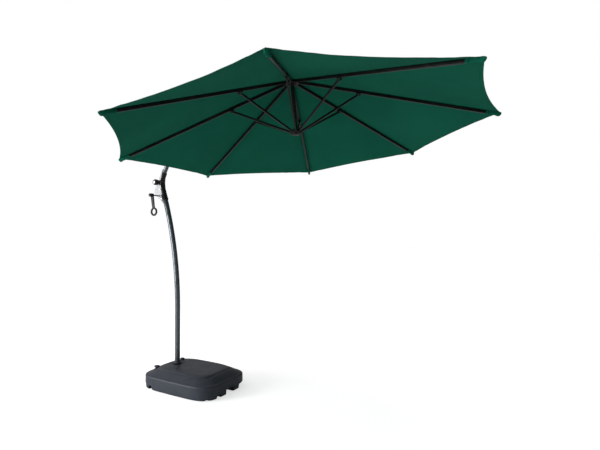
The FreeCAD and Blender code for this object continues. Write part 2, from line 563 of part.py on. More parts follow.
def make_head():
    pins = []
    slots = []
    for number in range(RIB_COUNT):
        turn = around_post(number)
        pin = rod(f"rib_pin_{number}", "hinge_pin", "-hinge_length / 2", "hinge_length / 2",
                  "hinge_radius")
        pin.Placement = Placement(Vector(), turn) * pin.Placement
        pins.append(pin)
        slot = block(f"rib_slot_{number}", "slot_inner", "hub_radius + 1",
                     "-rib_width / 2 - slot_gap", "rib_width / 2 + slot_gap", "-hub_low - 1",
                     "hub_high + 1")
        slot.Placement = Placement(Vector(), turn) * slot.Placement
        slots.append(slot)
    shelf = disc("hub_shelf_disc", "hub_radius", "-hub_low", "hub_shelf")
    core = disc("hub_core_disc", "hub_core", "-hub_low", "hub_high")
    bore = disc("hub_bore", "post_radius", "-hub_low - 1", "hub_high + 1")
    hub = cut("upper_hub_solid", join("hub_blank", shelf, core), bore, *pins, *slots)
    piece("upper_hub", hub, place=HEAD)
    piece("rib_pins", *pins, place=HEAD)

    tube = disc("post_tube", "post_radius", "-runner_drop - runner_low + runner_floor + post_clear",
                "hub_high")
    inside = disc("post_inside", "post_radius - post_wall", "-runner_drop * 2", "hub_high + 1")
    piece("centre_post", cut("centre_post_solid", tube, inside), place=HEAD)

    cap = disc("hub_cap_disc", "hubcap_radius", "hub_high", "hub_high + hubcap_height")
    cord_way = disc("cord_way", "cord_radius * 2", "0", "pulley_height")
    piece("hub_cap", cut("hub_cap_solid", cap, cord_way), place=HEAD)

    base_low = "hub_high + hubcap_height"
    foot = disc("hanger_foot", "hanger_radius", base_low, f"{base_low} + hanger_base")
    lug = block("hanger_lug", "-pulley_radius * 2", "hanger_radius / 2", "-lug_thick / 2",
                "lug_thick / 2", base_low, "swing_height")
    eye = rod("hanger_eye", "ear_height / 2", "-lug_thick / 2", "lug_thick / 2", 0, "swing_height")
    window = block("pulley_window", "-pulley_radius * 3", "cord_radius * 2",
                   "-pulley_width / 2 - 0.5", "pulley_width / 2 + 0.5",
                   "pulley_height - pulley_radius - 2", "pulley_height + pulley_radius + 2")
    pin_hole = rod("hanger_bore", "swing_radius + pivot_gap", "-lug_thick", "lug_thick", 0,
                   "swing_height")
    pulley_spot = {"x": "-pulley_radius - cord_radius", "z": "pulley_height"}
    pulley_hole = rod("pulley_hole", "pulley_pin", "-lug_thick", "lug_thick", **pulley_spot)
    hanger = cut("hanger_solid", join("hanger_blank", foot, lug, eye), window, pin_hole,
                 pulley_hole, cord_way)
    piece("canopy_hanger", hanger, place=HEAD)
    wheel = rod("pulley_wheel", "pulley_radius", "-pulley_width / 2", "pulley_width / 2",
                **pulley_spot)
    wheel_bore = rod("pulley_bore", "pulley_pin + pivot_gap", "-lug_thick", "lug_thick",
                     **pulley_spot)
    piece("pulley", cut("pulley_solid", wheel, wheel_bore), place=HEAD)
    piece("pulley_pin", rod("pulley_pin_rod", "pulley_pin", "-lug_thick / 2", "lug_thick / 2",
                            **pulley_spot), place=HEAD)
    piece("lift_cord", disc("lift_cord_rod", "cord_radius",
                            "-runner_drop - runner_low + runner_floor", "pulley_height"), place=HEAD)


# ---- ribs, struts, runner and fabric --------------------------------------------------------------
RIB_RUN = "(canopy_radius - hinge_radius)"
RIB_SLOPE = f"atan(canopy_rise / {RIB_RUN})"
RIB_LENGTH = f"sqrt({RIB_RUN} ^ 2 + canopy_rise ^ 2)"
JOINT_R = f"(hinge_radius + joint_reach * cos({RIB_SLOPE}) - joint_drop * sin({RIB_SLOPE}))"
JOINT_Z = f"(-joint_reach * sin({RIB_SLOPE}) - joint_drop * cos({RIB_SLOPE}))"
STRUT_RUN = f"({JOINT_R} - hinge_radius)"
STRUT_FALL = f"(runner_drop + {JOINT_Z})"
STRUT_LENGTH = f"sqrt({STRUT_RUN} ^ 2 + {STRUT_FALL} ^ 2)"
STRUT_SLOPE = f"atan({STRUT_FALL} / {STRUT_RUN})"


def rib_solids():
    """A rib along +X from its hinge, with its strut saddle, saddle rivet and tip cap."""
    half_width = "rib_width / 2"
    half_depth = "rib_depth / 2"
    end = f"{RIB_LENGTH} - tip_length + tip_depth"
    outside = block("rib_outside", "-rib_tail", end, f"-{half_width}", half_width,
                    f"-{half_depth}", half_depth)
    inside = block("rib_inside", "rib_tail", f"{end} + 1", f"-{half_width} + rib_wall",
                   f"{half_width} - rib_wall", f"-{half_depth} + rib_wall", f"{half_depth} - rib_wall")
    hinge_hole = rod("rib_hinge_hole", "hinge_pin + fit_gap", "-rib_width", "rib_width")
    tube = cut("rib_tube", outside, inside, hinge_hole)

    body = block("saddle_body", "joint_reach - saddle_length / 2", "joint_reach + saddle_length / 2",
                 "-saddle_width / 2", "saddle_width / 2", "-saddle_low", f"{half_depth} - 1")
    seat = block("saddle_seat", "joint_reach - saddle_length", "joint_reach + saddle_length",
                 f"-{half_width} - fit_gap", f"{half_width} + fit_gap", f"-{half_depth} - fit_gap",
                 "rib_depth")
    mouth = block("saddle_mouth", "joint_reach - saddle_length", "joint_reach + saddle_length",
                  "-strut_width / 2 - 0.5", "strut_width / 2 + 0.5", "-saddle_low - 1",
                  f"-{half_depth} - 1.5")
    rivet = rod("saddle_rivet", "hinge_pin", "-saddle_width / 2", "saddle_width / 2",
                "joint_reach", "-joint_drop")
    saddle = cut("rib_saddle", body, seat, mouth, rivet)

    cap = block("tip_outside", f"{RIB_LENGTH} - tip_length", RIB_LENGTH,
                f"-{half_width} - tip_wall", f"{half_width} + tip_wall",
                f"-{half_depth} - tip_wall", f"{half_depth}")
    pocket = block("tip_inside", f"{RIB_LENGTH} - tip_length - 1", f"{end} + 0.1",
                   f"-{half_width} - fit_gap", f"{half_width} + fit_gap",
                   f"-{half_depth} - fit_gap", "rib_depth")
    return [tube, saddle, rivet, cut("rib_tip", cap, pocket)]


def strut_solids():
    """A strut along +X from its pin on the rib to its stub pin at the runner."""
    bar = block("strut_bar", "0", STRUT_LENGTH, "-strut_width / 2", "strut_width / 2",
                "-strut_depth / 2", "strut_depth / 2")
    hollow = block("strut_hollow", "strut_depth", f"{STRUT_LENGTH} - strut_depth",
                   "-strut_width / 2 + strut_wall", "strut_width / 2 - strut_wall",
                   "-strut_depth / 2 + strut_wall", "strut_depth / 2 - strut_wall")
    eyes = [rod(f"strut_eye_{number}", "strut_depth / 2", "-strut_width / 2", "strut_width / 2", x)
            for number, x in enumerate(("0", STRUT_LENGTH))]
    near_hole = rod("strut_hole", "hinge_pin + fit_gap", "-strut_width", "strut_width")
    far_hole = rod("strut_far_hole", "hinge_pin", "-strut_width", "strut_width", STRUT_LENGTH)
    stub_pin = rod("strut_stub_pin", "hinge_pin", "-strut_width / 2", "strut_width / 2", STRUT_LENGTH)
    tube = cut("strut_tube", join("strut_blank", bar, *eyes), hollow, near_hole, far_hole)
    return [tube, stub_pin]


def fabric_panel():
    """One eighth of the canopy, centred on its rib: two flat halves that meet along the rib."""
    slope = math.radians(size(RIB_SLOPE))
    half = math.pi / RIB_COUNT
    edge_drop = size("rib_width / 2 + tip_wall") * math.tan(half) * math.tan(slope)
    lift = (size("rib_depth / 2 + fabric_gap") + edge_drop) / math.cos(slope)

    def on_rib(radius):
        return Vector(radius, 0, lift - (radius - size("hinge_radius")) * math.tan(slope))

    def between_ribs(radius, side):
        height = on_rib(radius / math.cos(half)).z
        gap = size("seam_gap")
        return Vector(radius * math.cos(half) + gap * math.sin(half),
                      side * (radius * math.sin(half) - gap * math.cos(half)), height)

    hole = size("fabric_hole")
    edge = size("canopy_radius") * math.cos(half) - size("scallop_depth")
    halves = []
    for side in (-1, 1):
        corners = [on_rib(hole), on_rib(size("canopy_radius")), between_ribs(edge, side),
                   between_ribs(hole * math.cos(half), side)]
        face = Part.Face(Part.makePolygon(corners + corners[:1]))
        halves.append(face.extrude(Vector(0, 0, size("fabric_thick"))))
    panel = doc.addObject("Part::Feature", "panel_form")
    panel.Shape = halves[0].fuse(halves[1]).removeSplitter()
    return panel


def make_canopy():
    rib_parts = rib_solids()
    strut_parts = strut_solids()
    panel = fabric_panel()
    rib_place = at("hinge_radius", 0, 0, Y_AXIS, size(RIB_SLOPE))
    strut_place = at(JOINT_R, 0, JOINT_Z, Y_AXIS, 180 - size(STRUT_SLOPE))
    for number in range(RIB_COUNT):
        spoke = HEAD * Placement(Vector(), around_post(number))
        piece(f"rib_{number}", *rib_parts, place=spoke * rib_place)
        piece(f"strut_{number}", *strut_parts, place=spoke * strut_place)
        piece(f"panel_{number}", panel, place=spoke)

    low = "-runner_drop - runner_low"
    body = disc("runner_body", "runner_radius", low, "-runner_drop + runner_high")
    bore = disc("runner_bore", "post_radius + post_gap", f"{low} + runner_floor", "0")
    slots = []
    for number in range(RIB_COUNT):
        slot = block(f"runner_slot_{number}", "runner_core", "runner_radius + 1",
                     "-strut_width / 2 - 0.5", "strut_width / 2 + 0.5", f"{low} - 1",
                     "-runner_drop + runner_high + 1")
        slot.Placement = Placement(Vector(), around_post(number)) * slot.Placement
        slots.append(slot)
    piece("runner", cut("runner_solid", body, bore, *slots), place=HEAD)


def check_and_write():
    doc.recompute()
    for thing in doc.Objects:
        if "Invalid" in thing.State or "Error" in thing.State:
            raise RuntimeError(f"{thing.Name} failed: {thing.State}")
    os.makedirs("parts", exist_ok=True)
    for whole in pieces:
        shape = whole.Shape
        if shape.isNull() or not shape.isValid() or not shape.Solids:
            raise RuntimeError(f"{whole.Label} is not a valid solid")
        shape.exportStep(os.path.join("parts", whole.Label + ".step"))
        print(f"{whole.Label:16s} {len(shape.Solids):2d} solids {shape.Volume / 1000:10.1f} cm3")


mast_foot = make_cross()
make_base()
make_mast(mast_foot)
make_knob()
make_winch()
make_arm()
make_head()
make_canopy()
check_and_write()
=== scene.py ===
import json
import math

import bmesh
import bpy
from mathutils import Matrix, Vector, noise


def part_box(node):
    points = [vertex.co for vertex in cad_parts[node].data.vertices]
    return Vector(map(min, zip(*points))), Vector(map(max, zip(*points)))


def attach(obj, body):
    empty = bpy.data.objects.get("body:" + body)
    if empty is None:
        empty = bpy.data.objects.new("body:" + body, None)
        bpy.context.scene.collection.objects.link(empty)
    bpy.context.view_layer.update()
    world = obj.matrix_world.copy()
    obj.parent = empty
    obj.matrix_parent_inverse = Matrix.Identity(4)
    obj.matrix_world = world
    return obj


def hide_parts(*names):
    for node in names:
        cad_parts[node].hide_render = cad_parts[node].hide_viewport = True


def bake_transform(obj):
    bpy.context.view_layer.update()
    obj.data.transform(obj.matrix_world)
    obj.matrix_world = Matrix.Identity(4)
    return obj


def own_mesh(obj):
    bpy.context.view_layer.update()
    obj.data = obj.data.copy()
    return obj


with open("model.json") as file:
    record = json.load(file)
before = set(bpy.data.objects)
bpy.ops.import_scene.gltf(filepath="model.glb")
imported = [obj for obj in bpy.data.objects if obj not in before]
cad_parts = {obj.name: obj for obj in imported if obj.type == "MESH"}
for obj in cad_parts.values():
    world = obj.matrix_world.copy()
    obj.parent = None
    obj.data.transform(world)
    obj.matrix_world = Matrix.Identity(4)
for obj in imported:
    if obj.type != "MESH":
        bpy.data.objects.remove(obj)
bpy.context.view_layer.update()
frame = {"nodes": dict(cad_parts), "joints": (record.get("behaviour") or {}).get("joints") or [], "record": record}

# ---- driving sizes, in metres ------------------------------------------------------------------
RIBS = 8
HALF_GORE = math.pi / RIBS

canopy_radius = 1.5
canopy_rise = 0.456
hinge_radius = 0.036
rib_width = 0.014
rib_depth = 0.024
rib_tail = 0.008
joint_reach = 0.494
joint_drop = 0.022
fabric_lift = 0.0142
fabric_thick = 0.0011
fabric_hole = 0.034
fabric_sag = 0.016
scallop_depth = 0.046
pocket_length = 0.105
strut_width = 0.012
strut_depth = 0.016
runner_drop = 0.400
post_radius = 0.014
mast_radius = 0.024
crank_length, crank_ring, crank_section = 0.158, 0.032, 0.0090
crank_near, crank_thick, crank_lean = 0.103, 0.014, math.radians(9)

# ---- places read from the frame ----------------------------------------------------------------
joints = {joint["name"]: joint for joint in frame["joints"]}
hinges = [Vector(joints[f"rib_{number}_fold"]["pos_m"]) for number in range(RIBS)]
hub_centre = sum(hinges, Vector()) / RIBS
post_up = -Vector(joints["runner_slide"]["axis"])
elbow = Vector(joints["arm_tilt"]["pos_m"])
winch = Vector(joints["crank_turn"]["pos_m"])


def frame_matrix(origin, along, up):
    """A place whose +X runs along `along` and whose +Z is as near to `up` as it can be."""
    x = Vector(along).normalized()
    y = Vector(up).cross(x).normalized()
    z = x.cross(y)
    place = Matrix((x, y, z)).transposed().to_4x4()
    place.translation = origin
    return place


def spoke(number):
    """The head's frame turned so that +X runs out under the rib."""
    return frame_matrix(hub_centre, hinges[number] - hub_centre, post_up)


rib_slope = math.atan(canopy_rise / (canopy_radius - hinge_radius))
rib_length = math.hypot(canopy_rise, canopy_radius - hinge_radius)
joint_x = hinge_radius + joint_reach * math.cos(rib_slope) - joint_drop * math.sin(rib_slope)
joint_z = -joint_reach * math.sin(rib_slope) - joint_drop * math.cos(rib_slope)
strut_length = math.hypot(joint_x - hinge_radius, runner_drop + joint_z)


def rib_place(number):
    hinge = Matrix.Translation((hinge_radius, 0, 0))
    return spoke(number) @ hinge @ Matrix.Rotation(rib_slope, 4, "Y")


def strut_place(number):
    slope = math.atan2(runner_drop + joint_z, joint_x - hinge_radius)
    turn = Matrix.Rotation(math.pi - slope, 4, "Y")
    return spoke(number) @ Matrix.Translation((joint_x, 0, joint_z)) @ turn


# ---- node groups shared by the materials -------------------------------------------------------
def node(tree, kind, **wires):
    """A shader node. Each wire is a property of the node, or an input by name or number."""
    made = tree.nodes.new(kind)
    for name, value in wires.items():
        if hasattr(made, name) and name not in made.inputs:
            setattr(made, name, value)
            continue
        key = int(name[5:]) if name.startswith("input") else name.replace("_", " ")
        socket = made.inputs[key]
        if isinstance(value, bpy.types.NodeSocket):
            tree.links.new(value, socket)
        else:
            socket.default_value = value
    return made


def math_node(tree, operation, first, second=0.0, clamp=False):
    made = node(tree, "ShaderNodeMath", operation=operation, input0=first, input1=second)
    made.use_clamp = clamp
    return made.outputs[0]


def spread(tree, value, low, high, to_low=0.0, to_high=1.0):
    """Maps a value from one range to another, held at both ends."""
    made = node(tree, "ShaderNodeMapRange", Value=value)
    for index, number in enumerate((low, high, to_low, to_high), start=1):
        made.inputs[index].default_value = number
    made.clamp = True
    return made.outputs["Result"]


def mixed(tree, factor, first, second):
    made = tree.nodes.new("ShaderNodeMix")
    made.data_type = "RGBA"
    for socket, value in ((0, factor), (6, first), (7, second)):
        if isinstance(value, bpy.types.NodeSocket):
            tree.links.new(value, made.inputs[socket])
        else:
            made.inputs[socket].default_value = value
    return made.outputs[2]


def new_group(name, inputs, outputs):
    tree = bpy.data.node_groups.new(name, "ShaderNodeTree")
    for label, kind, value in inputs:
        socket = tree.interface.new_socket(label, in_out="INPUT", socket_type=kind)
        if value is not None:
            socket.default_value = value
    for label, kind in outputs:
        tree.interface.new_socket(label, in_out="OUTPUT", socket_type=kind)
    return tree, tree.nodes.new("NodeGroupInput"), tree.nodes.new("NodeGroupOutput")


FLOAT, VECTOR = "NodeSocketFloat", "NodeSocketVector"


def build_moulding_grain():
    """Fine leather-like grain of a moulded or powder-coated skin, and slow patches of tone."""
    tree, given, out = new_group(
        "moulding_grain",
        [("Vector", VECTOR, None), ("Grain Scale", FLOAT, 900.0), ("Patch Scale", FLOAT, 6.0)],
        [("Height", FLOAT), ("Patches", FLOAT)])
    cells = node(tree, "ShaderNodeTexVoronoi", feature="SMOOTH_F1", Vector=given.outputs["Vector"],
                 Scale=given.outputs["Grain Scale"])
    specks = node(tree, "ShaderNodeTexNoise", Vector=given.outputs["Vector"],
                  Scale=given.outputs["Grain Scale"], Detail=2.0)
    height = math_node(tree, "ADD", cells.outputs["Distance"],
                       math_node(tree, "MULTIPLY", specks.outputs[0], 0.6))
    patches = node(tree, "ShaderNodeTexNoise", Vector=given.outputs["Vector"],
                   Scale=given.outputs["Patch Scale"], Detail=4.0, Roughness=0.6)
    tree.links.new(height, out.inputs["Height"])
    tree.links.new(spread(tree, patches.outputs[0], 0.35, 0.68), out.inputs["Patches"])
    return tree


def build_edge_wear():
    """A mask of rubbed edges and of dust that settles on faces that look up."""
    tree, given, out = new_group(
        "edge_wear",
        [("Vector", VECTOR, None), ("Wear", FLOAT, 0.5), ("Dust", FLOAT, 0.3)],
        [("Edges", FLOAT), ("Dust", FLOAT)])
    shape = node(tree, "ShaderNodeNewGeometry")
    break_up = node(tree, "ShaderNodeTexNoise", Vector=given.outputs["Vector"], Scale=38.0,
                    Detail=5.0)
    edges = spread(tree, shape.outputs["Pointiness"], 0.53, 0.62)
    edges = math_node(tree, "MULTIPLY", edges, spread(tree, break_up.outputs[0], 0.42, 0.62))
    tree.links.new(math_node(tree, "MULTIPLY", edges, given.outputs["Wear"]), out.inputs["Edges"])
    up = node(tree, "ShaderNodeSeparateXYZ", Vector=shape.outputs["Normal"])
    flecks = node(tree, "ShaderNodeTexNoise", Vector=given.outputs["Vector"], Scale=11.0,
                  Detail=6.0, Roughness=0.7)
    dust = math_node(tree, "MULTIPLY", spread(tree, up.outputs["Z"], 0.3, 1.0),
                     spread(tree, flecks.outputs[0], 0.4, 0.7))
    tree.links.new(math_node(tree, "MULTIPLY", dust, given.outputs["Dust"]), out.inputs["Dust"])
    return tree


def build_plain_weave():
    """Over-and-under threads from a cloth's own coordinates in metres, with thick and thin yarn."""
    tree, given, out = new_group(
        "plain_weave",
        [("Vector", VECTOR, None), ("Threads", FLOAT, 1400.0)],
        [("Height", FLOAT), ("Shade", FLOAT)])
    parts = node(tree, "ShaderNodeSeparateXYZ", Vector=given.outputs["Vector"])
    across = math_node(tree, "MULTIPLY", parts.outputs["X"], given.outputs["Threads"])
    along = math_node(tree, "MULTIPLY", parts.outputs["Y"], given.outputs["Threads"])
    warp = math_node(tree, "ABSOLUTE", math_node(tree, "SINE", across))
    weft = math_node(tree, "ABSOLUTE", math_node(tree, "SINE", along))
    over = math_node(tree, "GREATER_THAN", math_node(tree, "MULTIPLY", math_node(
        tree, "SINE", math_node(tree, "MULTIPLY", across, 0.5)), math_node(
            tree, "SINE", math_node(tree, "MULTIPLY", along, 0.5))), 0.0)
    under = math_node(tree, "SUBTRACT", 1.0, over)
    height = math_node(tree, "ADD", math_node(tree, "MULTIPLY", warp, over),
                       math_node(tree, "MULTIPLY", weft, under))
    yarn = node(tree, "ShaderNodeTexNoise", Scale=60.0, Detail=3.0, Vector=node(
        tree, "ShaderNodeVectorMath", operation="MULTIPLY", input0=given.outputs["Vector"],
        input1=(12.0, 1.0, 1.0)).outputs[0])
    shade = math_node(tree, "ADD", math_node(tree, "MULTIPLY", height, 0.5),
                      math_node(tree, "MULTIPLY", yarn.outputs[0], 0.5))
    tree.links.new(height, out.inputs["Height"])
    tree.links.new(shade, out.inputs["Shade"])
    return tree


moulding_grain = build_moulding_grain()
edge_wear = build_edge_wear()
plain_weave = build_plain_weave()


def grouped(tree, group, **wires):
    made = tree.nodes.new("ShaderNodeGroup")
    made.node_tree = group
    for name, value in wires.items():
        socket = made.inputs[name.replace("_", " ")]
        if isinstance(value, bpy.types.NodeSocket):
            tree.links.new(value, socket)
        else:
            socket.default_value = value
    return made


# ---- materials ---------------------------------------------------------------------------------
def start_material(name):
    material = bpy.data.materials.new(name)
    material.use_nodes = True
    tree = material.node_tree
    skin = next(n for n in tree.nodes if n.type == "BSDF_PRINCIPLED")
    place = node(tree, "ShaderNodeTexCoord").outputs["Object"]
    return material, tree, skin, place


def coated(name, dark, light, worn, rough, grain_scale, grain_depth, wear=0.4, dust=0.25,
           metallic=0.0, coat=0.0, gloss=0.5):
    """A painted or moulded skin: two tones in patches, rubbed edges, dust and fine grain."""
    material, tree, skin, place = start_material(name)
    grain = grouped(tree, moulding_grain, Vector=place, Grain_Scale=grain_scale, Patch_Scale=7.0)
    marks = grouped(tree, edge_wear, Vector=place, Wear=wear, Dust=dust)
    colour = mixed(tree, grain.outputs["Patches"], (*dark, 1), (*light, 1))
    colour = mixed(tree, marks.outputs["Dust"], colour, (0.16, 0.15, 0.14, 1))
    colour = mixed(tree, marks.outputs["Edges"], colour, (*worn, 1))
    tree.links.new(colour, skin.inputs["Base Color"])
    roughness = spread(tree, grain.outputs["Patches"], 0.0, 1.0, rough - 0.06, rough + 0.07)
    roughness = math_node(tree, "ADD", roughness,
                          math_node(tree, "MULTIPLY", marks.outputs["Dust"], 0.3), clamp=True)
    tree.links.new(roughness, skin.inputs["Roughness"])
    skin.inputs["Metallic"].default_value = metallic
    skin.inputs["Coat Weight"].default_value = coat
    skin.inputs["Specular IOR Level"].default_value = gloss
    bump = node(tree, "ShaderNodeBump", Strength=0.6, Distance=grain_depth,
                Height=grain.outputs["Height"])
    tree.links.new(bump.outputs[0], skin.inputs["Normal"])
    return material


def brushed(name, dark, light, rough, stretch, metallic=1.0):
    """Bare or plated metal with fine drawn lines and slow stains."""
    material, tree, skin, place = start_material(name)
    drawn = node(tree, "ShaderNodeVectorMath", operation="MULTIPLY", input0=place, input1=stretch)
    lines = node(tree, "ShaderNodeTexNoise", Vector=drawn.outputs[0], Scale=240.0, Detail=4.0)
    stains = node(tree, "ShaderNodeTexNoise", Vector=place, Scale=14.0, Detail=5.0)
    stained = spread(tree, stains.outputs[0], 0.3, 0.7, 0.7, 1)
    shade = math_node(tree, "MULTIPLY", lines.outputs[0], stained)
    tree.links.new(mixed(tree, shade, (*dark, 1), (*light, 1)), skin.inputs["Base Color"])
    tree.links.new(spread(tree, lines.outputs[0], 0.2, 0.8, rough - 0.08, rough + 0.1),
                   skin.inputs["Roughness"])
    skin.inputs["Metallic"].default_value = metallic
    bump = node(tree, "ShaderNodeBump", Strength=0.25, Distance=0.0001, Height=lines.outputs[0])
    tree.links.new(bump.outputs[0], skin.inputs["Normal"])
    return material


def canopy_cloth(name, dark, light, glow):
    """Dark woven polyester with a stitched hem, faded patches and a little light through it."""
    material, tree, skin, place = start_material(name)
    cloth = node(tree, "ShaderNodeUVMap", uv_map="cloth").outputs[0]
    margin = node(tree, "ShaderNodeUVMap", uv_map="margin").outputs[0]
    weave = grouped(tree, plain_weave, Vector=cloth, Threads=1500.0)
    fade = node(tree, "ShaderNodeTexNoise", Vector=place, Scale=1.7, Detail=3.0)
    colour = mixed(tree, spread(tree, weave.outputs["Shade"], 0.2, 1.0), (*dark, 1), (*light, 1))
    tint = mixed(tree, spread(tree, fade.outputs[0], 0.35, 0.7), (0.86, 0.9, 0.9, 1),
                 (1.1, 1.05, 1.05, 1))
    product = tree.nodes.new("ShaderNodeMix")
    product.data_type = "RGBA"
    product.blend_type = "MULTIPLY"
    product.inputs[0].default_value = 1.0
    tree.links.new(colour, product.inputs[6])
    tree.links.new(tint, product.inputs[7])
    sides = node(tree, "ShaderNodeSeparateXYZ", Vector=margin)
    from_edge, from_seam = sides.outputs["X"], sides.outputs["Y"]
    rows = math_node(tree, "ADD", stitch_row(tree, from_edge, from_seam, 0.020),
                     stitch_row(tree, from_seam, from_edge, 0.0085), clamp=True)
    tree.links.new(mixed(tree, rows, product.outputs[2], (0.001, 0.016, 0.012, 1)),
                   skin.inputs["Base Color"])
    skin.inputs["Roughness"].default_value = 0.85
    skin.inputs["Specular IOR Level"].default_value = 0.03
    fold = spread(tree, from_edge, 0.021, 0.024, 1.0, 0.0)
    threads = math_node(tree, "MULTIPLY", weave.outputs["Height"], 0.25)
    height = math_node(tree, "ADD", threads, fold)
    height = math_node(tree, "SUBTRACT", height, math_node(tree, "MULTIPLY", rows, 0.8))
    bump = node(tree, "ShaderNodeBump", Strength=0.5, Distance=0.0006, Height=height)
    tree.links.new(bump.outputs[0], skin.inputs["Normal"])
    through = node(tree, "ShaderNodeBsdfTranslucent", Color=(*glow, 1))
    blend = node(tree, "ShaderNodeMixShader", Fac=0.10)
    tree.links.new(skin.outputs[0], blend.inputs[1])
    tree.links.new(through.outputs[0], blend.inputs[2])
    surface = next(n for n in tree.nodes if n.type == "OUTPUT_MATERIAL")
    tree.links.new(blend.outputs[0], surface.inputs["Surface"])
    return material


def stitch_row(tree, across, along, centre):
    """A dashed row of thread, 1 mm wide, at a distance `centre` from an edge."""
    near = math_node(tree, "ABSOLUTE", math_node(tree, "SUBTRACT", across, centre))
    line = math_node(tree, "LESS_THAN", near, 0.0008)
    dash = math_node(tree, "GREATER_THAN", math_node(tree, "SINE", math_node(
        tree, "MULTIPLY", along, 2 * math.pi / 0.0045)), -0.45)
    return math_node(tree, "MULTIPLY", line, dash)


def twisted_cord(name, dark, light):
    """A braided cord: slanted plaits round its length."""
    material, tree, skin, place = start_material(name)
    plait = node(tree, "ShaderNodeTexWave", Vector=place, Scale=160.0, Distortion=1.5,
                 bands_direction="DIAGONAL")
    colour = mixed(tree, plait.outputs["Fac"], (*dark, 1), (*light, 1))
    tree.links.new(colour, skin.inputs["Base Color"])
    skin.inputs["Roughness"].default_value = 0.8
    bump = node(tree, "ShaderNodeBump", Strength=0.8, Distance=0.0008, Height=plait.outputs["Fac"])
    tree.links.new(bump.outputs[0], skin.inputs["Normal"])
    return material


def loose_sand(name):
    material, tree, skin, place = start_material(name)
    grains = node(tree, "ShaderNodeTexVoronoi", Vector=place, Scale=700.0)
    colour = mixed(tree, grains.outputs["Distance"], (0.32, 0.24, 0.15, 1), (0.6, 0.5, 0.36, 1))
    tree.links.new(colour, skin.inputs["Base Color"])
    skin.inputs["Roughness"].default_value = 0.9
    bump = node(tree, "ShaderNodeBump", Strength=1.0, Distance=0.001,
                Height=grains.outputs["Distance"])
    tree.links.new(bump.outputs[0], skin.inputs["Normal"])
    return material


black_paint = coated("black_powder_coat", (0.003, 0.0035, 0.0035), (0.006, 0.007, 0.007),
                     (0.06, 0.06, 0.06), 0.38, 1400.0, 0.00008, wear=0.35, dust=0.08, gloss=0.35)
gunmetal_paint = coated("gunmetal_powder_coat", (0.062, 0.078, 0.090), (0.092, 0.110, 0.124),
                        (0.36, 0.36, 0.36), 0.30, 1500.0, 0.00006, wear=0.3, dust=0.12,
                        metallic=0.55, coat=0.35)
tank_skin = coated("tank_moulding", (0.026, 0.032, 0.045), (0.040, 0.047, 0.062),
                   (0.14, 0.15, 0.17), 0.46, 520.0, 0.0004, wear=0.5, dust=0.10, gloss=0.35)
black_moulding = coated("black_moulding", (0.004, 0.004, 0.0045), (0.008, 0.008, 0.009),
                        (0.05, 0.05, 0.05), 0.44, 1100.0, 0.00012, wear=0.4, dust=0.1, gloss=0.3)
pad_rubber = coated("pad_rubber", (0.012, 0.012, 0.012), (0.022, 0.021, 0.020),
                    (0.05, 0.05, 0.05), 0.75, 800.0, 0.0002, wear=0.2, dust=0.4)
white_nylon = coated("white_nylon", (0.60, 0.59, 0.55), (0.70, 0.69, 0.66),
                     (0.8, 0.8, 0.78), 0.42, 900.0, 0.0001, wear=0.1, dust=0.1)
zinc_plate = brushed("silver_plate", (0.17, 0.175, 0.18), (0.33, 0.335, 0.345), 0.46,
                     (1.0, 1.0, 0.08), 0.75)
bright_steel = brushed("bright_steel", (0.22, 0.22, 0.225), (0.44, 0.44, 0.45), 0.30,
                       (1.0, 0.15, 1.0))
cord_fibre = twisted_cord("braided_cord", (0.008, 0.008, 0.008), (0.05, 0.05, 0.05))
sand = loose_sand("damp_sand")
cloth = canopy_cloth("canopy_cloth", (0.0045, 0.092, 0.056), (0.0110, 0.158, 0.098),
                     (0.02, 0.26, 0.17))

MATERIAL_OF_SLOT = {
    "black_steel": black_paint, "bright_steel": bright_steel, "tank_plastic": tank_skin,
    "sand": sand, "pad_rubber": pad_rubber, "white_nylon": white_nylon,
    "mast_paint": gunmetal_paint, "plate_zinc": zinc_plate, "black_plastic": black_moulding,
    "cord_fibre": cord_fibre, "canopy_fabric": cloth,
}
SLOT_OF_NODE = {part["node"]: part["material_slot"] for part in frame["record"]["subparts"]}


def dress_cad_nodes():
    for name, piece in frame["nodes"].items():
        piece.data.materials.clear()
        piece.data.materials.append(MATERIAL_OF_SLOT[SLOT_OF_NODE[name]])


# ---- mesh tools --------------------------------------------------------------------------------
def put(name, mesh, place=None):
    piece = bpy.data.objects.new(name, mesh)
    bpy.context.scene.collection.objects.link(piece)
    if place is not None:
        piece.data.transform(place)
    return piece


def mesh_from(name, points, faces):
    mesh = bpy.data.meshes.new(name)
    mesh.from_pydata([tuple(point) for point in points], [], faces)
    mesh.update()
    return mesh


def bake_modifiers(piece, sharp=40.0):
    """Applies a piece's modifiers to its mesh, and shades it smooth up to an angle."""
    bpy.context.view_layer.update()
    graph = bpy.context.evaluated_depsgraph_get()
    mesh = bpy.data.meshes.new_from_object(piece.evaluated_get(graph))
    piece.modifiers.clear()
    piece.data = mesh
    mesh.polygons.foreach_set("use_smooth", [True] * len(mesh.polygons))
    mesh.set_sharp_from_angle(angle=math.radians(sharp))
    return piece


def soften(piece, edge, steps=3, sharp=40.0):
    """Rounds a piece's sharp edges."""
    bevel = piece.modifiers.new("round_edges", "BEVEL")
    bevel.width = edge
    bevel.segments = steps
    bevel.limit_method = "ANGLE"
    bevel.angle_limit = math.radians(28)
    bevel.harden_normals = False
    return bake_modifiers(piece, sharp)


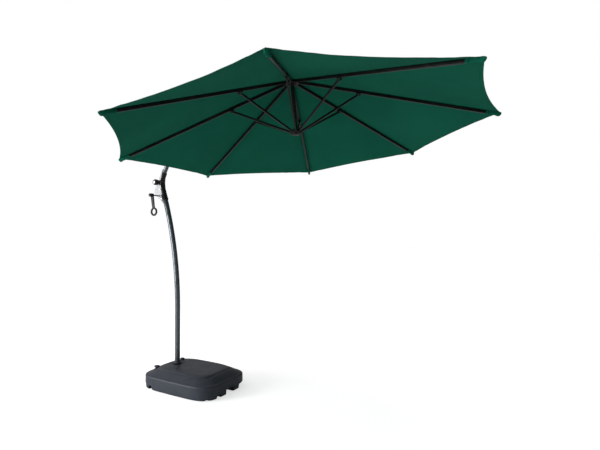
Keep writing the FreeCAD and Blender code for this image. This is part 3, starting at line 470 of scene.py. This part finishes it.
def rounded_outline(points, radii, steps=6):
    """A closed outline whose corners are arcs. A radius of 0 keeps a corner sharp."""
    made = []
    count = len(points)
    for index, corner in enumerate(points):
        corner = Vector(corner)
        radius = radii[index] if isinstance(radii, (list, tuple)) else radii
        back = (Vector(points[index - 1]) - corner)
        ahead = (Vector(points[(index + 1) % count]) - corner)
        half = back.angle(ahead) / 2
        if radius <= 0 or half > 1.55:
            made.append(corner)
            continue
        reach = min(radius / math.tan(half), back.length * 0.49, ahead.length * 0.49)
        radius = reach * math.tan(half)
        start, end = corner + back.normalized() * reach, corner + ahead.normalized() * reach
        inwards = (back.normalized() + ahead.normalized()).normalized()
        middle = corner + inwards * radius / math.sin(half)
        first, last = start - middle, end - middle
        sweep = first.angle(last)
        for step in range(steps + 1):
            share = step / steps
            spot = (first * math.sin((1 - share) * sweep) + last * math.sin(share * sweep))
            made.append(middle + spot / math.sin(sweep))
    return made


def lathe(name, profile, place, segments=56, lobe=None):
    """Turns a closed (radius, height) profile about +Z. `lobe` scales a radius by its angle."""
    points, faces = [], []
    rows = len(profile)
    for turn in range(segments):
        angle = 2 * math.pi * turn / segments
        for radius, height in profile:
            reach = radius * (lobe(angle, radius) if lobe else 1.0)
            points.append((reach * math.cos(angle), reach * math.sin(angle), height))
    for turn in range(segments):
        after = (turn + 1) % segments
        for row in range(rows):
            up = (row + 1) % rows
            faces.append((turn * rows + row, after * rows + row,
                          after * rows + up, turn * rows + up))
    mesh = mesh_from(name, points, faces)
    work = bmesh.new()
    work.from_mesh(mesh)
    bmesh.ops.remove_doubles(work, verts=work.verts, dist=1e-6)
    bmesh.ops.recalc_face_normals(work, faces=work.faces)
    work.to_mesh(mesh)
    work.free()
    return bake_modifiers(put(name, mesh, place), 35.0)


def turned(name, corners, place, round_by=0.0015, segments=56, lobe=None):
    """A lathe piece from the (radius, height) corners of its half section, with rounded corners."""
    radii = [0.0 if corner[0] < 1e-6 else round_by for corner in corners]
    profile = [tuple(point) for point in rounded_outline([Vector(c) for c in corners], radii, 4)]
    return lathe(name, profile, place, segments, lobe)


def prism(name, outline, low, high, place, edge=0.001):
    """An outline in XY pulled from low to high along Z, with rounded edges."""
    count = len(outline)
    points = [(p[0], p[1], low) for p in outline] + [(p[0], p[1], high) for p in outline]
    faces = [tuple(range(count))[::-1], tuple(range(count, 2 * count))]
    faces += [(i, (i + 1) % count, count + (i + 1) % count, count + i) for i in range(count)]
    piece = put(name, mesh_from(name, points, faces), place)
    return soften(piece, edge, 3) if edge else bake_modifiers(piece)


def tube_faces(rings, around):
    """Faces between rings of points, and a cap at each end."""
    faces = []
    for ring in range(rings):
        for part in range(around):
            after = (part + 1) % around
            faces.append((ring * around + part, ring * around + after,
                          (ring + 1) * around + after, (ring + 1) * around + part))
    return faces + [tuple(range(around))[::-1],
                    tuple(rings * around + part for part in range(around))]


def sheet_faces(rows, width):
    """Faces between the rows of an open sheet, each `width` points wide."""
    return [(r * width + c, r * width + c + 1, (r + 1) * width + c + 1, (r + 1) * width + c)
            for r in range(rows) for c in range(width - 1)]


def ring_profile(radius, section, steps, middle=0.0):
    """The round section of a ring, for the lathe."""
    turns = [2 * math.pi * step / steps for step in range(steps)]
    return [(radius + section * math.cos(a), middle + section * math.sin(a)) for a in turns]


def join_pieces(name, pieces):
    """Several meshes as one piece."""
    whole = bmesh.new()
    for piece in pieces:
        whole.from_mesh(piece.data)
        bpy.data.objects.remove(piece)
    mesh = bpy.data.meshes.new(name)
    whole.to_mesh(mesh)
    whole.free()
    mesh.set_sharp_from_angle(angle=math.radians(38))
    return put(name, mesh)


def dress(piece, material, body):
    piece.data.materials.clear()
    piece.data.materials.append(material)
    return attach(piece, body)


SIDEWAYS = Matrix.Rotation(math.radians(90), 4, "X")       # local +Z to world -Y


def on_axle(centre, y):
    """A place on an axle along Y, whose +Z points outwards on the winch side."""
    return Matrix.Translation((centre.x, y, centre.z)) @ SIDEWAYS


# ---- canopy ------------------------------------------------------------------------------------
def edge_radius(angle):
    """How far the hollow-cut edge is from the post, at an angle from a gore's middle."""
    straight = canopy_radius * math.cos(HALF_GORE)
    bend = scallop_depth * math.sin(angle) ** 2 / (canopy_radius * math.sin(HALF_GORE)) ** 2
    middle = straight - scallop_depth
    return 2 * middle / (math.cos(angle) + math.sqrt(math.cos(angle) ** 2 - 4 * bend * middle))


def cloth_height(radius, angle):
    """Height of the fabric over the hinge plane, at an angle from a gore's middle."""
    depth = radius * math.cos(angle)
    across = radius * math.sin(angle)
    on_rib = depth / math.cos(HALF_GORE)
    flat = fabric_lift - (on_rib - hinge_radius) * math.tan(rib_slope)
    half_span = depth * math.tan(HALF_GORE)
    hollow = 1 - (across / half_span) ** 2
    pull = math.sin(math.pi * min(on_rib / canopy_radius, 1.0) ** 1.2 * 0.62)
    return flat - fabric_sag * hollow * pull


def petal_point(number, share, side_share, side):
    """A point of the petal over a rib: share runs from the hub to the edge, side_share from the
    rib to the middle of the gore."""
    angle = HALF_GORE * (1 - side_share)
    radius = fabric_hole + (edge_radius(angle) - fabric_hole) * share
    height = cloth_height(radius, angle)
    turn = side * (HALF_GORE - angle)
    point = Vector((radius * math.cos(turn), radius * math.sin(turn), height))
    seam = math.exp(-(radius * math.sin(abs(turn)) / 0.008) ** 2)
    tip_pull = math.exp(-((1 - share) / 0.16) ** 2)
    place = spoke(number)
    crease = noise.noise(Vector((turn * 26, share * 1.3, number * 7.0))) * 0.0035 * tip_pull
    crease *= 1 - side_share ** 2
    ripple = noise.noise(place @ point * 3.1) * 0.0028
    calm = min(1.0, radius * abs(math.sin(turn)) / 0.05)
    point.z += 0.0016 * seam + (crease + ripple) * calm
    return point


def make_petal(number, rows=46, columns=15):
    """One eighth of the canopy: from one gore's middle over its rib to the next gore's middle."""
    shares = [math.sin(math.pi / 2 * (row / rows)) ** 0.9 for row in range(rows + 1)]
    steps = [(column / columns) ** 1.25 for column in range(columns + 1)]
    sides = [(-1, step) for step in reversed(steps[1:])] + [(1, step) for step in steps]
    width = len(sides)
    points, marks, margins = [], [], []
    for share in shares:
        for side, step in sides:
            point = petal_point(number, share, step, side)
            points.append(point)
            radius = math.hypot(point.x, point.y)
            marks.append((side * radius * HALF_GORE * step, radius))
            angle = HALF_GORE * (1 - step)
            margins.append((edge_radius(angle) - radius, radius * HALF_GORE * step))
    mesh = mesh_from(f"canopy_petal_{number}", points, sheet_faces(rows, width))
    for label, values in (("cloth", marks), ("margin", margins)):
        layer = mesh.uv_layers.new(name=label)
        for corner in mesh.loops:
            layer.data[corner.index].uv = values[corner.vertex_index]
    piece = put(f"canopy_petal_{number}", mesh, spoke(number))
    shell = piece.modifiers.new("thickness", "SOLIDIFY")
    shell.thickness = fabric_thick
    shell.offset = 0.0
    bake_modifiers(piece, 60.0)
    dress(piece, cloth, f"rib_{number}")
    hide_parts(f"panel_{number}")
    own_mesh(piece)
    return piece


def make_tip_pocket(number):
    """The fabric sleeve that a rib's end sits in, sewn under the canopy's corner."""
    start, end = rib_length - pocket_length, rib_length + 0.004
    half, deep = 0.0115, rib_depth + 0.0035
    rings, around, points = 14, 18, []
    for ring in range(rings + 1):
        share = ring / rings
        close = math.sqrt(max(0.0, 1 - max(0.0, (share - 0.86) / 0.14) ** 2))
        flare = 1 + 0.30 * math.exp(-share / 0.12)
        for step in range(around + 1):
            angle = math.pi * (step / around - 0.5)
            y = half * flare * max(close, 0.25) * math.sin(angle)
            swell = 1 + 0.06 * math.sin(9 * share)
            z = -deep * max(close, 0.5) * abs(math.cos(angle)) ** 0.3 * swell
            z -= 0.0015 * math.sin(17 * share + 2 * angle)
            points.append((start + (end - start) * share, y, rib_depth / 2 + 0.0005 + z))
    mesh = mesh_from(f"tip_pocket_{number}", points, sheet_faces(rings, around + 1))
    for label in ("cloth", "margin"):
        layer = mesh.uv_layers.new(name=label)
        for corner in mesh.loops:
            x, y, z = points[corner.vertex_index]
            layer.data[corner.index].uv = (y, x) if label == "cloth" else (x - start, abs(y) + 0.02)
    piece = put(f"tip_pocket_{number}", mesh, rib_place(number))
    shell = piece.modifiers.new("thickness", "SOLIDIFY")
    shell.thickness = fabric_thick
    bake_modifiers(piece, 60.0)
    dress(piece, cloth, f"rib_{number}")
    return piece


# ---- ribs and struts ---------------------------------------------------------------------------
def beam(name, start, end, width, depth, place, edge=0.0022):
    outline = [(start, -depth / 2), (end, -depth / 2), (end, depth / 2), (start, depth / 2)]
    side_on = place @ SIDEWAYS
    return prism(name, [Vector(p) for p in outline], -width / 2, width / 2, side_on, edge)


def rivet(name, place, half_length, radius=0.0045):
    """A domed pin across a joint, along the place's Y."""
    head = 0.0022
    below, above = -half_length - head, half_length + head
    corners = [(0, below), (radius * 0.7, below), (radius, -half_length), (0.003, -half_length),
               (0.003, half_length), (radius, half_length), (radius * 0.7, above), (0, above)]
    return turned(name, corners, place @ SIDEWAYS, 0.0008, 20)


def make_rib(number):
    place = rib_place(number)
    body = beam("rib_body", -rib_tail, rib_length - 0.010, rib_width, rib_depth, place)
    cheeks = []
    for side in (-1, 1):
        corners = [(-0.020, 0.011), (0.020, 0.011), (0.020, -0.012), (0.008, -0.032),
                   (-0.008, -0.032), (-0.020, -0.012)]
        shape = rounded_outline([Vector(c) for c in corners], 0.004, 4)
        low = side * 0.009 - 0.002
        cheeks.append(prism("cheek", shape, low, low + 0.004, place @ Matrix.Translation(
            (joint_reach, 0, 0)) @ SIDEWAYS, 0.0008))
    bridge = beam("bridge", joint_reach - 0.020, joint_reach + 0.020, 0.020, 0.003,
                  place @ Matrix.Translation((0, 0, -rib_depth / 2 - 0.0012)), 0.0008)
    whole = join_pieces(f"rib_beam_{number}", [body, bridge, *cheeks])
    dress(whole, black_paint, f"rib_{number}")
    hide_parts(f"rib_{number}")
    joint = place @ Matrix.Translation((joint_reach, 0, -joint_drop))
    pin = rivet(f"rib_rivet_{number}", joint, 0.0112)
    dress(pin, bright_steel, f"rib_{number}")


def make_strut(number):
    place = strut_place(number)
    half = strut_depth / 2
    end = strut_length + half
    corners = [(-half, -half), (end, -half), (end, half), (-half, half)]
    shape = rounded_outline([Vector(c) for c in corners], strut_depth * 0.49, 6)
    bar = prism(f"strut_bar_{number}", shape, -strut_width / 2, strut_width / 2,
                place @ SIDEWAYS, 0.002)
    dress(bar, black_paint, f"strut_{number}")
    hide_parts(f"strut_{number}")
    pin = rivet(f"strut_rivet_{number}", place @ Matrix.Translation((strut_length, 0, 0)),
                strut_width / 2, 0.004)
    dress(pin, bright_steel, f"strut_{number}")


def slotted_outline(outer, inner, half_slot, steps=7):
    """A disc's outline with a radial slot for each rib."""
    made = []
    for number in range(RIBS):
        middle = 2 * math.pi * number / RIBS
        edge = math.asin(half_slot / outer)
        depth = math.sqrt(inner ** 2 - half_slot ** 2) if inner > half_slot else inner
        for x, y in ((outer * math.cos(edge), -half_slot), (depth, -half_slot), (depth, half_slot),
                     (outer * math.cos(edge), half_slot)):
            made.append(Vector((x * math.cos(middle) - y * math.sin(middle),
                                x * math.sin(middle) + y * math.cos(middle))))
        for step in range(1, steps):
            angle = middle + edge + (2 * math.pi / RIBS - 2 * edge) * step / steps
            made.append(Vector((outer * math.cos(angle), outer * math.sin(angle))))
    return made


def ring_wire(name, radius, section, place):
    return lathe(name, ring_profile(radius, section, 10), place, 64)


def make_hub_and_runner():
    head = spoke(0)
    blades = prism("hub_blades", slotted_outline(0.052, 0.0195, rib_width / 2 + 0.0003),
                   -0.014, 0.006, head, 0.0015)
    core = turned("hub_core", [(post_radius, -0.016), (0.0185, -0.016), (0.0185, 0.016),
                               (post_radius, 0.016)], head, 0.0012)
    hub = join_pieces("hub_crown", [blades, core])
    dress(hub, black_moulding, "head")
    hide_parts("upper_hub")
    wire = ring_wire("hub_ring_wire", hinge_radius, 0.0026, head)
    dress(wire, bright_steel, "head")
    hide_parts("rib_pins")

    low = head @ Matrix.Translation((0, 0, -runner_drop))
    blades = prism("runner_blades", slotted_outline(0.046, 0.0262, strut_width / 2 + 0.0005),
                   -0.016, 0.016, low, 0.0018)
    core = turned("runner_core", [(0, -0.024), (0.020, -0.024), (0.030, -0.019), (0.0255, -0.010),
                                  (0.0255, 0.022), (post_radius + 0.0006, 0.022),
                                  (post_radius + 0.0006, -0.018), (0, -0.018)], low, 0.002)
    runner = join_pieces("runner_crown", [blades, core])
    dress(runner, black_moulding, "runner")
    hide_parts("runner")
    wire = ring_wire("runner_ring_wire", hinge_radius, 0.0024, low)
    dress(wire, bright_steel, "runner")


# ---- base tank ---------------------------------------------------------------------------------
base_rear, base_front, base_side = -0.190, 0.603, 0.304
base_shoulder, sand_top = 0.105, 0.118
MOUTHS = (("filler_cap", 0.018), ("vent_cap", 0.013))


def plan_point(angle, inset):
    """A point of the tank's bowed rounded-rectangle plan, drawn in by an inset."""
    middle = (base_front + base_rear) / 2
    half_x = (base_front - base_rear) / 2 - inset
    half_y = base_side - inset
    power = 4.8 - 1.6 * min(inset / base_shoulder, 1.0)
    c, s = math.cos(angle), math.sin(angle)
    reach = (abs(c / half_x) ** power + abs(s / half_y) ** power) ** (-1 / power)
    return Vector((middle + reach * c, reach * s))


def tank_profile():
    """Inset and height from the bottom edge over the rim and shoulder to the crown's middle."""
    return [(0.014, 0.0), (0.006, 0.003), (0.001, 0.010), (0.0, 0.030), (0.0, 0.070), (0.0, 0.106),
            (0.0012, 0.1125), (0.0045, 0.1165), (0.009, 0.1185), (0.013, 0.1188), (0.017, 0.1200),
            (0.030, 0.1290), (0.050, 0.1420), (0.070, 0.1535), (0.085, 0.1610), (0.100, 0.1665),
            (0.115, 0.1692), (0.135, 0.1700), (0.170, 0.1700), (0.210, 0.1702), (0.250, 0.1704)]


def make_tank_blank():
    """The tank's outer form as a closed mesh of rings."""
    turns = 128
    profile = tank_profile()
    angles = [2 * math.pi * (turn + 0.5) / turns for turn in range(turns)]
    points = [(*plan_point(angle, inset), height) for inset, height in profile for angle in angles]
    faces = tube_faces(len(profile) - 1, turns)
    return put("tank_blank", mesh_from("tank_blank", points, faces))


def cutter(low, high, edge=0.006, name="cutter"):
    """A box with rounded edges, to be cut away."""
    outline = [(low[0], low[1]), (high[0], low[1]), (high[0], high[1]), (low[0], high[1])]
    return prism(name, [Vector(p) for p in outline], low[2], high[2], Matrix.Identity(4), edge)


def cut_away(piece, tools):
    for tool in tools:
        step = piece.modifiers.new("cut", "BOOLEAN")
        step.operation = "DIFFERENCE"
        step.solver = "EXACT"
        step.object = tool
    bake_modifiers(piece)
    for tool in tools:
        bpy.data.objects.remove(tool)
    return piece


def tank_relief(x, y, z):
    """Height of the moulded lines in the tank's crown: a step round the crown and two troughs."""
    if z < 0.118:
        return 0.0
    middle = (base_front + base_rear) / 2
    across = (abs((x - middle) / 0.285) ** 6 + abs(y / 0.205) ** 6) ** (1 / 6)
    step = 0.0022 / (1 + math.exp((across - 1) * 90))
    trough = -0.0030 * math.exp(-((across - 1.06) / 0.022) ** 2)
    well = 0.006 * (1 / (1 + math.exp((math.hypot(x, y) - 0.072) * 420)))
    return step + trough - well


UNDER, OVER = -0.02, 0.19
UNDERSIDE_CUTS = {
    "bar channel": ((-0.20, -0.042, UNDER), (0.62, 0.067, 0.044), 0.010),
    "cross channel": ((-0.067, -0.32, UNDER), (-0.022, 0.32, 0.036), 0.008),
    "heel": ((-0.20, -0.32, UNDER), (-0.120, 0.32, 0.042), 0.010),
    "flank": ((-0.20, 0.147, UNDER), (0.62, 0.32, 0.038), 0.010),
    "arch": ((0.50, -0.162, UNDER), (0.62, -0.106, 0.024), 0.010),
    "toe": ((0.535, -0.32, UNDER), (0.62, -0.225, 0.016), 0.012),
}


def make_tank():
    blank = make_tank_blank()
    tools = [cutter(*cut) for cut in UNDERSIDE_CUTS.values()]
    for name, radius, top, edge in (("recess", 0.105, 0.044, 0.004), ("bore", 0.036, OVER, 0.0)):
        section = [(0, UNDER), (radius, UNDER), (radius, top), (0, top)]
        tools.append(turned(name, section, Matrix.Identity(4), edge))
    for name, bore in MOUTHS:
        low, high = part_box(name)
        place = Matrix.Translation(((low.x + high.x) / 2, (low.y + high.y) / 2, 0))
        tools.append(turned("mouth", [(0, sand_top - 0.006), (bore + 0.001, sand_top - 0.006),
                                      (bore + 0.001, 0.2), (0, 0.2)], place, 0.0))
    tank = cut_away(blank, tools)
    skin = tank.modifiers.new("skin", "REMESH")
    skin.mode = "VOXEL"
    skin.voxel_size = 0.0042
    calm = tank.modifiers.new("calm", "SMOOTH")
    calm.factor = 0.5
    calm.iterations = 5
    bake_modifiers(tank, 70.0)
    for vertex in tank.data.vertices:
        x, y, z = vertex.co
        vertex.co.z = max(0.0, z + tank_relief(x, y, z))
    tank.data.update()
    tank.name = "tank_shell"
    dress(tank, tank_skin, "root")
    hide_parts("base_tank")
    return tank


def make_sand():
    """The ballast, seen through the mouths when their caps are out."""
    turns = 96
    angles = [2 * math.pi * (turn + 0.5) / turns for turn in range(turns)]
    outline = [plan_point(angle, 0.018) for angle in angles]
    bed = prism("sand_bed", outline, 0.052, sand_top, Matrix.Identity(4), 0.004)
    dress(bed, sand, "root")
    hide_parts("sand_fill")


def make_caps():
    for name, bore in MOUTHS:
        low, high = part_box(name)
        middle = (low + high) / 2
        outer = (high.x - low.x) / 2
        lid = high.z - 0.003
        rim = lid - 0.009
        corners = [(0, low.z), (bore - 0.001, low.z), (bore - 0.001, rim), (outer, rim),
                   (outer, lid - 0.002), (outer * 0.8, lid), (0, lid)]

        def knurl(angle, radius):
            return 1 - 0.035 * max(0.0, math.cos(18 * angle)) if radius > outer * 0.9 else 1.0

        place = Matrix.Translation((middle.x, middle.y, 0))
        cap = turned("lid", corners, place, 0.0014, 108, knurl)
        grip = prism("grip", rounded_outline([Vector(c) for c in (
            (-bore, -0.003), (bore, -0.003), (bore, 0.003), (-bore, 0.003))], 0.0028, 5),
            lid - 0.001, high.z, place, 0.0012)
        whole = join_pieces(name + "_turned", [cap, grip])
        dress(whole, tank_skin, name)
        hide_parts(name)


def make_collar():
    """The moulded collar that closes the tank's column round the mast."""
    low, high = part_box("socket_collar")
    outer = (high.x - low.x) / 2

    def lobes(angle, radius):
        return 1 + 0.05 * max(0.0, math.cos(4 * angle)) ** 6 if radius > outer * 0.93 else 1.0

    corners = [(mast_radius + 0.0006, low.z), (outer * 0.94, low.z), (outer * 0.95, low.z + 0.004),
               (outer * 0.80, high.z - 0.003), (outer * 0.74, high.z),
               (mast_radius + 0.0006, high.z)]
    piece = turned("collar_turned", corners, Matrix.Identity(4), 0.0012, 96, lobes)
    dress(piece, tank_skin, "root")
    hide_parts("socket_collar")


# ---- knob, winch and small parts ---------------------------------------------------------------
def make_knob():
    low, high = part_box("tilt_knob")
    outer = (high.z - low.z) / 2
    depth_out, depth_in = -low.y, -high.y

    def grips(angle, radius):
        return 1 - 0.10 * max(0.0, math.cos(6 * angle)) ** 2 if radius > outer * 0.7 else 1.0

    start = depth_in + 0.016
    corners = [(0.0062, depth_in), (0.013, depth_in), (0.014, start - 0.004), (outer * 0.93, start),
               (outer, start + 0.008), (outer, depth_out - 0.008), (outer * 0.80, depth_out),
               (0.0, depth_out), (0.0, depth_in + 0.018), (0.0062, depth_in + 0.018)]
    knob = turned("knob_grip", corners, on_axle(elbow, 0.0), 0.003, 96, grips)
    dress(knob, black_moulding, "tilt_knob")
    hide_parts("tilt_knob")
    low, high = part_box("knob_cap")
    outer = (high.z - low.z) / 2
    corners = [(0, -high.y), (outer, -high.y), (outer, -high.y + 0.002),
               (outer * 0.82, -low.y - 0.001), (outer * 0.4, -low.y), (0, -low.y)]
    cap = turned("knob_badge", corners, on_axle(elbow, 0.0), 0.0012)
    dress(cap, bright_steel, "tilt_knob")
    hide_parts("knob_cap")


def make_crank():
    """The winch's folding handle: a boss on the axle, a tapered web and a ring grip."""
    low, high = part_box("crank_handle")
    lean = Matrix.Rotation(-crank_lean, 4, "Y")
    place = Matrix.Translation((winch.x, 0, winch.z)) @ lean @ SIDEWAYS
    near, thick = crank_near, crank_thick
    lever_end = crank_length - crank_ring
    corners = [(-0.0165, 0.004), (-0.0155, -0.060), (-0.0135, -lever_end),
               (0.0135, -lever_end), (0.0155, -0.060), (0.0165, 0.004)]
    outline = rounded_outline([Vector(c) for c in corners], [0.006, 0, 0.004, 0.004, 0, 0.006])
    web = prism("web", outline, near, near + thick, place, 0.003)
    boss = turned("boss", [(0.006, near - 0.004), (0.0162, near - 0.004), (0.0162, -low.y),
                           (0.006, -low.y)], place, 0.0018)
    grip = lathe("grip", ring_profile(crank_ring, crank_section, 18, near + thick / 2),
                 place @ Matrix.Translation((0, -crank_length, 0)), 64)
    whole = join_pieces("crank_lever", [web, boss, grip])
    dress(whole, black_moulding, "crank")
    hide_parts("crank_handle")
    low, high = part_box("crank_cap")
    outer = (high.x - low.x) / 2
    cap = turned("crank_badge", [(0, -high.y), (outer, -high.y), (outer * 0.9, -low.y - 0.001),
                                 (outer * 0.5, -low.y), (0, -low.y)], on_axle(winch, 0.0), 0.0012)
    dress(cap, black_moulding, "crank")
    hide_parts("crank_cap")


def make_reel_cord():
    """The turns of cord on the reel, side by side."""
    low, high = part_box("wound_cord")
    outer = (high.x - low.x) / 2
    cord = 0.0026
    core = outer - 2 * cord + 0.0004
    turns = int((high.y - low.y) / (2 * cord))
    points, ring = [], 8
    steps = turns * 28
    for step in range(steps + 1):
        angle = 2 * math.pi * step / 28
        y = low.y + cord + (high.y - low.y - 2 * cord) * step / steps
        reach = core + cord
        for part in range(ring):
            around = 2 * math.pi * part / ring
            points.append((winch.x + (reach + cord * math.cos(around)) * math.cos(angle),
                           y + cord * math.sin(around),
                           winch.z + (reach + cord * math.cos(around)) * math.sin(angle)))
    mesh = mesh_from("reel_turns", points, tube_faces(steps, ring))
    piece = bake_modifiers(put("reel_turns", mesh), 80)
    dress(piece, cord_fibre, "crank")
    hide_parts("wound_cord")


def make_lift_cord():
    """The braided line inside the post, built as one fixed tube; it does not pay out when the runner comes down.
    """
    low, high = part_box("lift_cord")
    up = post_up.normalized()
    middle = (low + high) / 2
    half = (high.z - low.z) / 2 / up.z
    radius, rings, around = 0.0023, 120, 10
    place = frame_matrix(middle - up * half, hinges[0] - hub_centre, up)
    points = []
    for ring in range(rings + 1):
        height = 2 * half * ring / rings
        for part in range(around):
            angle = 2 * math.pi * part / around
            reach = radius * (1 + 0.07 * math.sin(3 * angle + height / 0.0025))
            points.append((reach * math.cos(angle), reach * math.sin(angle), height))
    faces = tube_faces(rings, around)
    line = put("lift_line", mesh_from("lift_line", points, faces), place)
    bake_modifiers(line, 60)
    line.data.materials.append(cord_fibre)
    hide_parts("lift_cord")
    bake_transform(line)


# ---- stage, lights and camera ------------------------------------------------------------------
def aim(thing, target):
    thing.rotation_euler = (Vector(target) - thing.location).to_track_quat("-Z", "Y").to_euler()


def soft_light(name, place, target, size, power, colour=(1, 1, 1)):
    data = bpy.data.lights.new(name, "AREA")
    data.shape = "RECTANGLE"
    data.size, data.size_y = size
    data.energy = power
    data.color = colour
    light = bpy.data.objects.new(name, data)
    bpy.context.scene.collection.objects.link(light)
    light.location = place
    aim(light, target)


def make_stage():
    scene = bpy.context.scene
    scene.view_settings.view_transform = "Standard"
    material = bpy.data.materials.new("floor_paper")
    material.use_nodes = True
    tree = material.node_tree
    skin = next(n for n in tree.nodes if n.type == "BSDF_PRINCIPLED")
    grain = node(tree, "ShaderNodeTexNoise", Scale=30.0, Detail=3.0)
    tree.links.new(mixed(tree, grain.outputs[0], (0.93, 0.93, 0.93, 1), (0.95, 0.95, 0.95, 1)),
                   skin.inputs["Base Color"])
    skin.inputs["Roughness"].default_value = 0.9
    skin.inputs["Specular IOR Level"].default_value = 0.1
    skin.inputs["Emission Color"].default_value = (1, 1, 1, 1)
    seen = node(tree, "ShaderNodeLightPath").outputs["Is Camera Ray"]
    tree.links.new(math_node(tree, "MULTIPLY", seen, 0.62), skin.inputs["Emission Strength"])
    half = 60.0
    corners = [(-half, -half, 0), (half, -half, 0), (half, half, 0), (-half, half, 0)]
    floor = put("floor", mesh_from("floor", corners, [(0, 1, 2, 3)]))
    floor.location.z = -0.0005
    floor.data.materials.append(material)
    world = bpy.data.worlds.new("studio")
    scene.world = world
    world.use_nodes = True
    tree = world.node_tree
    facing = node(tree, "ShaderNodeVectorMath", operation="DOT_PRODUCT",
                  input0=node(tree, "ShaderNodeTexCoord").outputs["Generated"],
                  input1=(-0.70, -0.70, 0.10))
    room = spread(tree, facing.outputs["Value"], -0.7, 0.9, 0.10, 0.75)
    seen = node(tree, "ShaderNodeLightPath").outputs["Is Camera Ray"]
    strength = node(tree, "ShaderNodeMix", data_type="FLOAT", input0=seen, input2=room, input3=1.0)
    tree.links.new(strength.outputs[0], tree.nodes["Background"].inputs[1])
    tree.nodes["Background"].inputs[0].default_value = (1, 1, 1, 1)
    soft_light("key_left", (-3.4, -5.0, 1.6), (0.4, 0, 1.4), (2.4, 2.4), 300)
    soft_light("top", (1.2, 0.5, 6.5), (1.0, 0, 1.5), (5.0, 5.0), 90)


def make_camera():
    data = bpy.data.cameras.new("camera")
    data.sensor_width = 36.0
    data.lens = 25.93
    data.shift_x = 0.0545
    data.shift_y = 0.0103
    data.clip_end = 300.0
    camera = bpy.data.objects.new("camera", data)
    bpy.context.scene.collection.objects.link(camera)
    forward = Vector((-0.52468, 0.85114, 0.01617))
    camera.location = (2.8359, -3.0048, 1.3328)
    camera.rotation_euler = forward.to_track_quat("-Z", "Y").to_euler()
    bpy.context.scene.camera = camera


make_stage()
make_camera()
dress_cad_nodes()
for rib_number in range(RIBS):
    make_rib(rib_number)
    make_strut(rib_number)
    make_petal(rib_number)
    make_tip_pocket(rib_number)
make_hub_and_runner()
make_tank()
make_sand()
make_caps()
make_collar()
make_knob()
make_crank()
make_reel_cord()
make_lift_cord()

bpy.context.view_layer.update()
